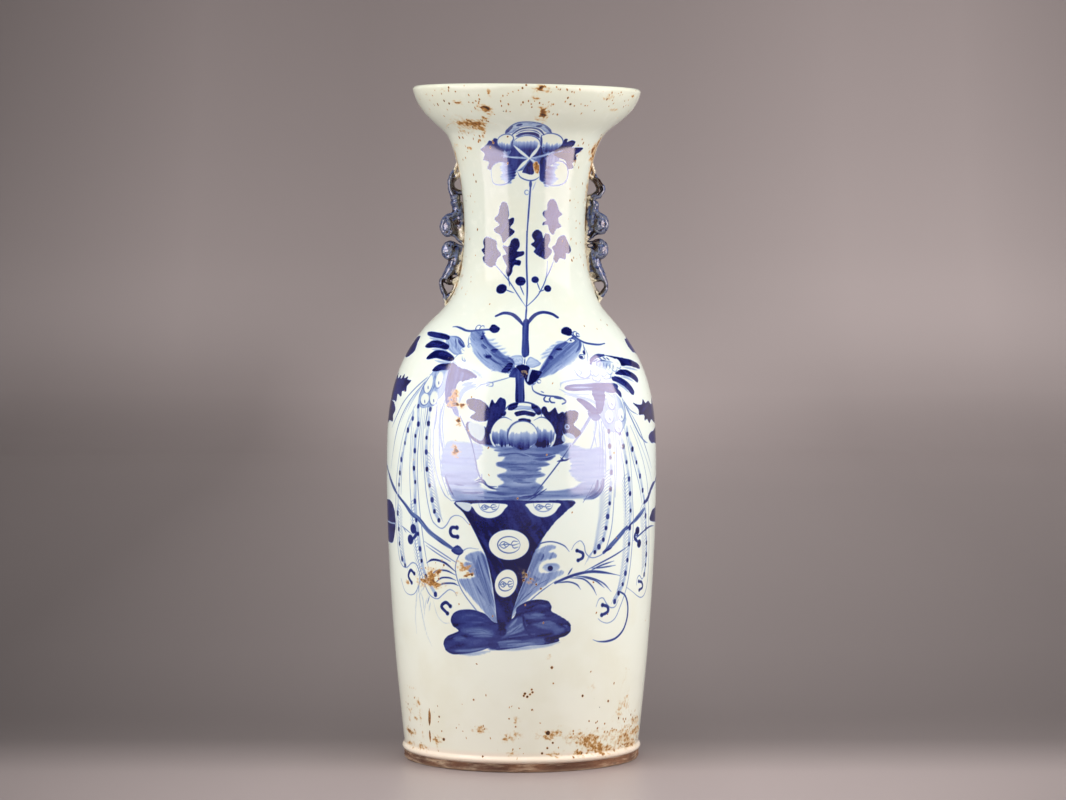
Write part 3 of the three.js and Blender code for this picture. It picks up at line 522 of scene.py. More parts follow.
def paint_bird_legs(p):
    p.stroke([(-26.5, 312), (-22, 295), (-20, 283), (-18, 264), (-16, 256)], 1.1, DEEP, start=0.6, end=0.8)
    p.strokes([[(-19, 256), (-16.3, 257.5), (-14, 253)], [(-20, 253.5), (-16.5, 255.5), (-12.5, 250.3), (-8.5, 249)],
               [(-16.3, 262), (-16, 256), (-13.2, 251.5), (-10, 251.5)]], 1.3, INK)
    p.stroke([(21, 287), (19, 281), (16.5, 274), (12, 262), (7, 249), (4.5, 243)], 1.1, DEEP, start=0.6, end=0.9)
    p.strokes([[(15, 273.3), (19, 274.3)], [(16.5, 276.5), (18, 274), (21, 276)], [(1.5, 241), (5.5, 244.5), (8, 249)],
               [(3, 239.5), (6.5, 243.8), (10.5, 249.5)], [(-1, 242.5), (4, 243.5), (9.5, 245.2)]], 1.5, INK)


def paint_stand(p):
    """The dark tapered stand with its reserved medallions."""
    p.wash([(-28, 238), (-24.5, 228), (-21, 217), (-17.5, 203), (-14.5, 189), (-12.3, 168), (-11, 148), (-9.5, 126),
            (-5, 130), (-3.5, 142), (-1.5, 155), (2, 174), (5.5, 194), (8.5, 205), (13.5, 219), (18.5, 229),
            (22.5, 238.5), (4, 239.5), (-4, 240)], 0.98, streak=0.16, angle=-60, grain=(2, 16), ragged=0.3)
    p.reserve([(-28, 237), (-21.5, 236.5), (-21, 232), (-22.5, 229.3), (-25, 231.5)], 0.12)
    p.strokes([[(3, 208), (6, 199), (9, 212)], [(6, 226), (8, 219)], [(-17, 218), (-15, 226)], [(-12, 186), (-11, 176)],
               [(-20, 226), (-15, 200), (-12, 172)], [(-4, 235), (-2, 222), (2, 218)], [(-9, 150), (-8.4, 132)]],
              4, INK, streak=0.3, soft=1.2)
    for centre, across, up in [((-13.3, 236.5), 7, 12.5), ((9.2, 237), 6.6, 12)]:
        arc = [(centre[0] + across * math.cos(a), centre[1] - up * math.sin(a)) for a in np.linspace(0, math.pi, 9)]
        p.reserve(arc)
        p.strokes([[(centre[0] + 0.62 * (x - centre[0]), centre[1] + 0.6 * (z - centre[1])) for x, z in arc]], 0.7, MID)
        leaf_sprig(p, (centre[0], centre[1] - 3), 3.4, 3.2)
    p.reserve(oval((-5, 201), 8.4, 13.2))
    p.stroke(oval((-5, 201), 4.7, 7.2) + [(-0.3, 201)], 0.8, DEEP)
    leaf_sprig(p, (-5, 201), 4.1, 4.6)
    p.reserve(oval((-6.3, 167.3), 4.7, 12.2, 0.8))
    p.stroke(oval((-6.2, 166.5), 3.1, 5.8, 0.5) + [(-3.1, 166.5)], 0.8, DEEP)
    leaf_sprig(p, (-6.2, 166.5), 2.7, 3.8)


def leaf_sprig(p, centre, across, up):
    """A small sprig for a medallion: one veined leaf, two leaflets and their stem."""
    x, z = centre
    lines = [
        [(-1, -0.1), (-0.2, 0.1), (0.45, -0.05), (1, 0.25)], [(-1, -0.1), (-0.6, 0.6), (0.1, 0.1)],
        [(-1, -0.1), (-0.5, -0.65), (0.1, 0.1)], [(-0.65, 0), (-0.4, 0.35)], [(-0.5, 0), (-0.3, -0.35)],
        [(0.2, 0.05), (0.45, 0.7), (0.9, 0.6)], [(0.3, 0), (0.5, -0.6), (0.95, -0.4)],
    ]
    p.strokes([[(x + a * across, z + b * up) for a, b in line] for line in lines], 0.6, DEEP, start=0.6, end=0.4)


def paint_base_leaves(p):
    """The two big leaves behind the stand: pale scalloped washes under darker streaks and a fine edge."""
    pale = dict(streak=0.5, grain=(0.9, 26), rim=0, ragged=0.5, soft=0.9)
    p.wash([(-21.5, 193), (-17, 195), (-15, 188), (-13.5, 175), (-12, 160), (-11, 145), (-10.4, 131), (-14, 138),
            (-19, 149), (-24, 160), (-27.4, 169), (-23.5, 170.5), (-19.5, 173), (-23.5, 178), (-25.2, 182),
            (-24, 184.8), (-21, 184.6), (-23.7, 187.5), (-23.5, 190.5)], 0.38, angle=113, **pale)
    p.wash([(-18, 193), (-15, 190), (-13, 170), (-11.3, 147), (-13.5, 150), (-16.5, 165), (-19.5, 178)], 0.52,
           angle=108, **pale)
    p.strokes([[(-20, 168), (-17, 157), (-12.8, 145)], [(-17.5, 171), (-14.3, 158), (-11.3, 144)]], 2.2, 0.74,
              start=0.5, streak=0.5, soft=0.8)
    p.strokes([[(-24, 164), (-19, 152), (-12.5, 139)], [(-16, 178), (-13.8, 162)], [(-21.5, 186), (-17.5, 184.5)],
               [(-21, 177), (-16.5, 180)]], 1.3, 0.58, streak=0.5, soft=0.7)
    p.stroke([(-9.5, 127), (-15, 134), (-21, 147), (-26.4, 162), (-28.7, 178), (-27, 190), (-23, 197), (-18, 196.8)],
             0.9, MID)
    p.wash([(-8, 131), (-4, 142), (-1, 155), (1.5, 170), (3.5, 185), (5.5, 195), (9, 199), (12.6, 200.8), (14.5, 198.5),
            (11.4, 194.6), (14.3, 193.4), (14.4, 189.6), (9.5, 187), (7.5, 182), (8, 176.5), (12, 176.5),
            (17.4, 178.6), (18, 175), (13.5, 170), (8, 162), (1, 150), (-4, 138)], 0.38, angle=66, **pale)
    p.wash([(2.6, 178), (5, 191), (8.6, 195), (9.6, 190), (6.6, 183), (5.5, 175), (8, 171), (4, 163), (0, 153), (-4, 141),
            (-1, 158)], 0.52, angle=68, **pale)
    p.wash(oval((12.8, 181), 3.8, 3.4), 0.34, **pale)
    p.strokes([[(-6.5, 135), (-1.5, 150), (2, 162)], [(-4.6, 141), (0.5, 153), (6, 163)]], 1.8, 0.72, streak=0.5,
              soft=0.7)
    p.strokes([[(-5, 136), (2, 149), (9, 161), (15, 169.5)], [(-3, 146), (3, 165), (5.5, 178)],
               [(1.5, 157), (8, 167), (14, 173)]], 0.9, 0.66, streak=0.4)
    p.dots([(12.3, 180.3)], 2.5, INK)
    p.strokes([[(4, 196), (8, 202), (13, 203.5), (18, 200), (20.5, 194.5)]], 1.0, DEEP)


def paint_rocks(p):
    """Low rocks in broad, wet pulls of the brush, with thinner paint between the pools."""
    p.wash([(-31.8, 133), (-30.5, 139), (-26.5, 143), (-21, 143.3), (-15.5, 140), (-11.5, 133), (-8, 133),
            (-3.5, 136.5), (-2.2, 141), (-1.8, 146), (1.5, 150.8), (6, 153), (11, 152), (13, 147.5), (13, 142.6),
            (17.5, 137.5), (21.3, 131.5), (21.8, 125), (19.5, 120.6), (16.6, 119), (16.5, 116), (12, 113.8), (4, 112.4),
            (-4, 110), (-10.5, 108.6), (-14, 110), (-18, 107.3), (-25, 104.2), (-31, 103.2), (-35, 106), (-36.2, 112),
            (-34.5, 118), (-30, 122), (-28, 124.5), (-30.5, 128)], 0.9, streak=0.16, grain=(1.3, 15), angle=14,
           ragged=0.4, rim=0.12)
    for thin, keep in [
        ([(-27, 126), (-20, 128.5), (-13, 126), (-11.5, 121.5), (-18, 119.5), (-25, 122)], 0.82),
        ([(-8.5, 119), (-2, 124), (2, 130), (0.5, 138), (-3.5, 135), (-6.6, 129)], 0.72),
        ([(-10, 116), (0, 117.4), (8, 120), (11, 116.4), (4, 113.8), (-8, 112)], 0.74),
        ([(0.6, 140), (6, 140.6), (11, 137), (6, 135.6), (2, 136.8)], 0.72),
        ([(5, 132), (13, 132.6), (17, 128), (12, 126.6), (7, 129)], 0.72), ([(15, 122), (19, 125), (18, 128), (14, 125)], 0.74),
        ([(-31, 116), (-22, 118), (-14, 116), (-23, 113.6)], 0.86), ([(-34, 107), (-24, 108), (-15, 110), (-24, 105.4)], 0.84),
    ]:
        p.reserve(thin, keep, soft=1.4)
    for line, width, keep in [
        ([(-24, 124.6), (-18, 125.4), (-13.5, 124)], 1.8, 0.62), ([(-23, 122), (-17, 123), (-12.5, 122.4)], 1.4, 0.58),
        ([(-21, 120), (-16, 120.8), (-12.6, 120.4)], 1.2, 0.62), ([(-31, 117), (-28, 118.4), (-25, 118)], 2.2, 0.62),
        ([(-10, 115.6), (-5, 116.8), (0, 117)], 1.4, 0.56), ([(-6, 113.6), (0, 114.6), (6, 115)], 1.3, 0.6),
        ([(-6, 124), (-2, 128), (1.4, 133)], 2, 0.56), ([(-4.6, 122.6), (0, 126), (2.6, 131)], 1.5, 0.6),
        ([(-5, 129), (-3, 133), (-1.6, 137)], 1.5, 0.56), ([(-5, 120), (1, 122), (6, 123)], 1.2, 0.6),
        ([(4.6, 140), (7, 140.6), (10, 139.6)], 1.8, 0.58), ([(8, 133), (12, 133.4), (15, 131.6)], 1.4, 0.66),
        ([(18.6, 130), (20.4, 128.6), (20.8, 125)], 1.4, 0.62), ([(-30, 106), (-23, 107.6), (-16, 110)], 1.8, 0.58),
        ([(-9, 111), (0, 112.6), (10, 114.6)], 1.6, 0.56), ([(5, 146), (8, 148), (11, 147)], 1.3, 0.7),
        ([(-26, 137), (-21, 138.6), (-16, 136)], 1.6, 0.74), ([(-27, 132), (-20, 133), (-14, 131)], 1.2, 0.74),
    ]:
        bare_arm(p, line, 1.3 * width, keep + 0.12)
    p.stroke([(-28, 103.4), (-20, 104.8), (-13.5, 107.4)], 3, 0.34, streak=0.6, soft=0.8)
    p.stroke([(-10, 108.6), (0, 110), (10, 112.2), (17, 115)], 2.6, 0.34, streak=0.6, soft=0.8)
    brush = dict(start=0.4, end=0.3, streak=0.2, soft=0.8)
    p.strokes([[(-25, 124.5), (-18, 125.6), (-13, 122.6)], [(-9, 114.6), (0, 115.4), (7, 117.6)], [(-6, 121), (0, 131)],
               [(-3.6, 121.6), (3, 125)], [(2, 138.4), (8, 138.4)], [(8, 130.6), (14, 129.6)], [(-28, 115.8), (-19, 116.4)]],
              1.3, 0.9, **brush)
    p.strokes([[(1.4, 136), (5, 128.6), (13, 124)], [(-1, 145), (1, 138), (1.4, 131), (4, 122), (12, 117.6)],
               [(20.4, 133), (20.6, 126), (17, 120.6)]], 3, INK, **brush)
    p.washes([oval((-8.4, 125), 2.5, 5.4), oval((-12.2, 112.8), 2.9, 3.6), oval((12.5, 118), 3, 3.2)], INK,
             streak=0.05, ragged=0.8, soft=1.3)


def hook(p, points, radius=1.9):
    """The curl at a tail's tip: an arc of the brush with a round blob at each end."""
    p.stroke(points, 1.6 * radius, INK, start=0.9, end=0.9)
    p.dots((points[0], points[-1]), radius, INK)


def tail(p, dots, edges, barbs=None, halo=0.17):
    """A long tail feather: its row of dots in a pale wash, edge lines and barbs from a height range downwards."""
    spine = smooth_line(dots)
    order = np.argsort(spine[:, 1])
    p.stroke(dots, 4.4, halo, start=0.8, end=0.8, streak=0.7)
    for edge in edges:
        p.stroke(edge, 0.85, 0.5, start=0.5, end=0.5)
    if barbs:
        low, high, across, drop = barbs
        for height in np.arange(low, high, 2.9):
            x = np.interp(height, spine[order, 1], spine[order, 0])
            bend = (x + 0.55 * across, height - 0.3 * drop)
            p.stroke([(x, height), bend, (x + across, height - drop)], 0.55, 0.42, start=0.8, end=0.2, soft=0.35)
    for i, (x, z) in enumerate(dots):
        above = float(np.interp(z + 7, spine[order, 1], spine[order, 0]))
        p.stroke([(x, z + 1), (above, z + 7)], 3, 0.3, start=0.9, end=0.2, streak=0.3, soft=0.8)
        p.dots([(x, z)], 1.7 + 0.3 * math.sin(2.3 * i), INK if i % 3 else DEEP, 1.3)


def paint_left_tails(p):
    tail(p, [(-53, 308), (-56, 297.5), (-58, 286), (-61, 271), (-62.3, 259), (-63.2, 248.5), (-65, 223), (-64.3, 209),
             (-64, 196), (-62, 183), (-59.5, 177.5)],
         [[(-52, 320), (-58, 300), (-62, 280), (-65.5, 255), (-67, 230), (-66.5, 205), (-65, 185), (-62, 177), (-58, 176),
           (-54, 180.5), (-51.5, 180.5), (-49.5, 177), (-48.5, 168), (-50, 160), (-53, 153.5), (-57, 152), (-61, 155),
           (-64, 165)],
          [(-53, 313), (-57.5, 292), (-60.5, 262), (-61.3, 240)]], (182, 232, 4.5, 9))
    hook(p, [(-52.4, 171.5), (-55, 174), (-57, 168.4), (-54.7, 163)], 1.7)
    tail(p, [(-50, 319), (-48.8, 303.5), (-50.3, 293), (-50.5, 280), (-51, 264.5), (-50.2, 252.5), (-50.5, 235.5),
             (-49.8, 219), (-48.8, 207), (-47.8, 194), (-47, 183.5), (-44.7, 170), (-39.5, 155)],
         [[(-53, 318), (-53.5, 290), (-54, 260), (-53.5, 240), (-52, 215), (-50, 190), (-47, 170), (-44, 157), (-41, 152),
           (-38, 151.5), (-35, 156), (-32, 160), (-29.5, 158.5), (-28.5, 155)],
          [(-47.5, 320), (-47.5, 300), (-48.8, 270), (-48, 240), (-46.5, 215), (-44.5, 190), (-43, 178)]],
         (165, 240, -4, 8), halo=0.3)
    hook(p, [(-31.8, 145.6), (-34, 148.6), (-36.4, 144.6), (-33.4, 139)], 1.8)
    p.stroke([(-41, 150), (-39, 137), (-35.5, 130.5), (-31.5, 131)], 0.7, FAINT)
    tail(p, [(-42.2, 317), (-42.6, 304.5), (-43.3, 292), (-43.3, 279.5), (-42.8, 264.5), (-41.3, 250.5), (-40, 238),
             (-38.8, 228), (-36.5, 220.5)],
         [[(-45, 318), (-45.5, 290), (-44.5, 265), (-43, 240), (-40.5, 222), (-38, 216), (-35, 213.5), (-32.5, 217),
           (-30.5, 223), (-28, 225.5), (-25, 224), (-22, 218)],
          [(-38.5, 320), (-39.5, 290), (-38, 265), (-34, 245), (-30, 238)],
          [(-36.5, 322), (-36.5, 300), (-35.8, 275), (-34.5, 258), (-31.5, 243)],
          [(-34.5, 322), (-35, 305), (-33.5, 285)]], (228, 282, 4.6, 9), halo=0.2)
    hook(p, [(-27.6, 214.8), (-30, 214.6), (-30.8, 210.8), (-29.8, 207.4), (-27.4, 206.8)], 1.9)
    p.strokes([[(-47, 345), (-54, 335), (-62, 322), (-68, 308), (-73, 298)], [(-48, 341), (-56, 325), (-62, 310),
               (-67, 292), (-73, 262)]], 1.1, MID, start=0.8)
    p.strokes([[(-49, 337), (-54, 325), (-58, 313)], [(-47.5, 342), (-53, 329), (-58, 318), (-62.5, 304)]], 0.8, PALE)
    p.strokes([[(-46, 318), (-46.6, 290), (-46, 262)], [(-55.5, 312), (-58.5, 296)], [(-52, 300), (-53, 270)],
               [(-41, 300), (-41, 275), (-39, 256)]], 0.6, PALE)


def paint_right_tails(p):
    tail(p, [(39.6, 298), (39.8, 285), (40.2, 275), (40.6, 262), (40.2, 247.5), (39.8, 235), (38.8, 223.5), (38, 213.5),
             (36.7, 203.5), (34.5, 197.5), (32.5, 193)],
         [[(42, 302), (42.5, 270), (42.3, 245), (41.5, 220), (40, 205), (37.5, 193), (34, 189), (30.5, 188.5), (28, 193),
           (27.3, 199), (25.5, 203.5), (23, 201), (21.5, 196)],
          [(43.3, 300), (43.6, 270), (42.8, 240)]], (196, 268, -6.2, 14), halo=0.15)
    p.strokes([[(36.5, 300), (37.5, 280), (36.5, 262)], [(34, 300), (35.3, 280), (34.3, 258)], [(31.5, 300), (33, 285)]],
              1.4, PALE, streak=0.5)
    hook(p, [(24, 195), (26.6, 192.6), (26.6, 188.6), (24.6, 186.5)], 1.6)
    tail(p, [(46, 296), (47.8, 284), (49.8, 270), (51.5, 255), (52.3, 242), (52.8, 227), (52.5, 212), (52.3, 197.5),
             (51.5, 183.5), (50.5, 172), (49, 162.5), (46.5, 155), (44.3, 148)],
         [[(49, 300), (52.5, 270), (54, 240), (55, 215), (54.5, 195), (53.5, 175), (51.5, 158), (48, 143), (45, 133),
           (41, 129.5), (37.5, 131), (35.3, 134)],
          [(46.5, 149), (44.8, 143.5), (42, 143), (39.5, 147), (37.5, 152), (35.3, 151), (34, 145)],
          [(45, 290), (48, 265), (49, 240), (49.5, 222)]], (156, 262, -4.6, 10), halo=0.22)
    hook(p, [(37.4, 145.8), (40.2, 144), (40.4, 139.4), (37.2, 137)], 1.8)
    p.stroke([(47.5, 156), (51, 152), (53.3, 143), (53.3, 132), (51, 122), (46.5, 115.5), (41, 113.3), (36, 113.8),
              (33, 115.8)], 1.9, DEEP, start=0.8, end=0.1)
    tail(p, [(50.7, 294.5), (54, 281), (57, 269), (60, 256.5), (62.5, 243.5), (64.5, 233), (66, 220.5), (66.8, 209),
             (68, 196), (68.3, 185.5), (68, 176.5), (66.8, 168)],
         [[(53, 302), (58, 286), (64, 265), (68, 244), (70, 215), (71.5, 195), (72, 175), (71.5, 160), (69, 151),
           (65, 148), (61, 150), (57, 154), (52, 159)],
          [(67, 167), (64.5, 164.5), (62, 168), (60, 166), (59.6, 160)],
          [(51, 290), (55, 268), (59.5, 248), (62, 232)]], (178, 235, -4.8, 10), halo=0.2)
    hook(p, [(61.4, 163), (64.6, 161.4), (65.6, 157), (62.4, 155)], 1.5)
    p.strokes([[(49.5, 326), (54, 315.5), (60, 310.5)], [(52, 318), (60, 298), (66, 280), (73, 262)]], 0.9, MID)
    p.stroke([(50.5, 322), (55, 306), (60, 293), (65, 286.5), (68, 285)], 1.5, MID, start=0.8)
    p.strokes([[(55, 302), (61, 284), (69, 263), (74, 250)], [(48, 322), (51, 306)], [(51, 318), (56, 302)],
               [(45, 296), (46.3, 280), (47, 262)]], 0.7, PALE)


def paint_side_leaves(p):
    """The leaves at the pot's sides. Their far halves, past about 80 degrees, are out of the photo's sight."""
    leaves = [[(-78, 379), (-74, 378), (-72, 373), (-69, 366.5), (-73, 362), (-78, 360), (-85, 361), (-91, 366), (-86, 370),
               (-84, 377)],
              [(-78, 341), (-74, 344.5), (-72, 341), (-69, 346), (-67.5, 342), (-64, 344), (-63.5, 341), (-59.5, 340.5),
               (-62, 336), (-62, 331), (-66, 331), (-66, 326), (-71, 328), (-71, 321.5), (-77, 322), (-83, 318),
               (-86, 325), (-92, 325), (-89, 332), (-94, 338), (-86, 340), (-82, 346)],
              [(-79, 321), (-74, 320), (-70.5, 314), (-73, 309), (-72.5, 303.5), (-79, 304), (-86, 301), (-92, 309),
               (-87, 312), (-88, 320)],
              [(-79, 233), (-73, 232), (-69, 226), (-68, 219), (-67.8, 212), (-69.5, 203), (-72.5, 196), (-79, 195),
               (-87, 196), (-93, 203), (-98, 213), (-93, 224), (-87, 231)],
              [(57, 321), (61, 319.5), (65, 319.5), (67, 323.5), (69.5, 320), (74, 321.5), (79, 318), (84, 323), (87, 317),
               (94, 314), (88, 308), (84, 301), (79, 303), (75, 305), (72, 302), (69, 306), (66, 305), (66, 310),
               (61, 310.5), (61, 315)],
              [(69.3, 290), (73, 294), (79, 295), (86, 297), (94, 290), (86, 283), (79, 284), (73, 284.5)],
              [(73.5, 370.5), (76, 376), (81, 376), (88, 378), (95, 370), (88, 363), (81, 364), (76, 365)],
              [(71, 217), (75, 224), (80, 225), (88, 226), (96, 219), (88, 212), (80, 213), (75, 214)]]
    p.washes(leaves, INK, streak=0.1, angle=20)
    p.reserve([(-96, 214), (-85, 213.8), (-74, 213.4), (-69, 213.8), (-69, 212.6), (-74, 212.2), (-85, 212.2),
               (-96, 213)], 0.2, soft=0.3)
    p.strokes([[(-79, 259), (-88, 268), (-97, 285), (-100, 310), (-96, 335), (-90, 366)],
               [(81, 249), (90, 256), (98, 276), (101, 305), (99, 335), (94, 368)]], 3.6, 0.84, streak=0.4, start=0.8)
    p.strokes([[(-98, 292), (-94, 300), (-90, 308)], [(-99, 322), (-95, 328), (-91, 332)], [(100, 290), (96, 290), (92, 290)],
               [(101, 312), (96, 314), (92, 314)], [(-85, 265), (-92, 245), (-97, 214)], [(88, 254), (94, 238), (96, 220)]],
              1.4, DEEP)


def paint_left_branch(p):
    p.strokes([[(-79, 259), (-74, 252), (-69, 245), (-65.5, 240.5)],
               [(-64.5, 239), (-58, 232), (-53, 224.5), (-48, 220), (-42, 210), (-36, 203), (-31, 197.5), (-28, 194.5)]],
              4.2, 0.86, streak=0.45, start=0.6, end=0.5)
    p.stroke([(-64, 240), (-59, 233), (-53, 226)], 1.6, INK)
    p.dots([(-52, 211), (-54.3, 201.3)], 4.3, INK)
    p.stroke([(-50.6, 210), (-50.2, 206), (-52.6, 202)], 3.4, INK, start=0.7, end=0.7)
    p.strokes([[(-62, 212.5), (-58, 210), (-53, 206)], [(-60, 211), (-57.5, 207)]], 0.9, MID)
    p.wash([(-30.5, 194.5), (-27.5, 199.3), (-24.5, 194.5), (-27, 191)], DEEP)
    p.strokes([[(-44, 182), (-40, 185.5), (-34, 183.5), (-28.5, 176)]], 1.8, INK, start=0.2, end=0.3)
    p.strokes([[(-41.5, 172), (-38, 176), (-33, 176.5), (-28.5, 173)], [(-39, 165.5), (-36, 169.8), (-32, 170.5),
               (-28.5, 168.5)], [(-38, 162), (-35, 165), (-30, 165.8), (-27.5, 164)]], 1.4, DEEP)
    p.strokes([[(-45, 201), (-36, 192.5), (-28, 184)], [(-44, 197.5), (-37, 190.5), (-31, 185)]], 1.0, MID, end=0.6)
    p.strokes([[(-50, 165), (-51.3, 152), (-53, 135), (-53, 118)], [(-49.5, 162), (-49, 145), (-46.5, 122), (-43, 108)],
               [(-47, 160), (-50, 150)], [(-43.5, 154), (-46, 144), (-47, 133)], [(-42.5, 148), (-43.8, 139)],
               [(-49, 158), (-47, 148), (-47.3, 140)]], 1.2, FAINT, streak=0.4)
    p.strokes([[(-49, 165), (-50, 155)], [(-43, 153), (-44.5, 146)]], 0.8, MID)


def paint_right_branch(p):
    p.strokes([[(37, 192), (42, 199.5), (47, 207.5), (50.5, 213)], [(54.5, 216), (60, 222), (64.5, 227)]],
              4.4, 0.82, streak=0.45, start=0.6, end=0.6)
    p.strokes([[(64, 232), (68, 235.5), (72, 243), (76, 247), (81, 249)]], 4.2, INK, start=0.6, streak=0.3)
    p.strokes([[(37, 192.5), (41.5, 196)], [(50, 210), (55, 217.5)]], 2, INK)
    p.dots([(58.5, 208.3), (60.3, 196.7)], 3.6, INK)
    p.stroke([(57.2, 207.4), (56.4, 202.6), (59.4, 198)], 3, INK, start=0.7, end=0.7)
    p.strokes([[(55.5, 200), (60, 204), (66, 208), (72, 210), (79, 209.5)], [(60, 204), (57, 204)]], 1.4, DEEP)
    p.strokes([[(14.5, 167.5), (20, 172), (25, 174.7), (31, 176), (38, 174.3), (47, 170.5)]], 2.4, DEEP, start=0.9, end=0.1)
    p.strokes([[(28, 177), (36, 183.5), (44, 189.5), (53, 197)], [(31, 179), (36, 179), (44, 180)],
               [(20, 174), (22, 180)], [(22, 173), (30, 171), (37, 165.5), (42, 157)], [(20, 171.5), (27, 170), (31.5, 163),
               (34, 155)], [(14, 167), (20, 168), (24, 165.5), (26, 161)], [(30, 176.5), (36, 181), (43, 184)],
               [(26, 172), (33, 168), (38, 161)]], 1.2, DEEP, end=0.15)


def spiky_shade(p, points, tone, direction=-90, grain=(0.9, 9)):
    """Shading that is dark at its foot and breaks into brush tips where it ends."""
    p.wash(points, tone, angle=direction, fade=(1.0, direction), grain=grain, streak=0.35, rim=0, ragged=2.2, soft=0.8)


def bare_arm(p, points, width, keep=0.08):
    """A pointed strip of glaze left bare in dark ground."""
    line = smooth_line(points)
    swell = 0.25 + 0.75 * np.sin(np.linspace(0, math.pi, len(line)))
    box, distance, _, _ = p.line_field(line, width / 2 * swell, width)
    at = np.ix_(np.arange(box[0], box[1]), np.arange(box[2], box[3]) % p.columns)
    p.cobalt[at] *= 1 - (1 - keep) * (1 - ramp(distance, -0.4, 0.5))


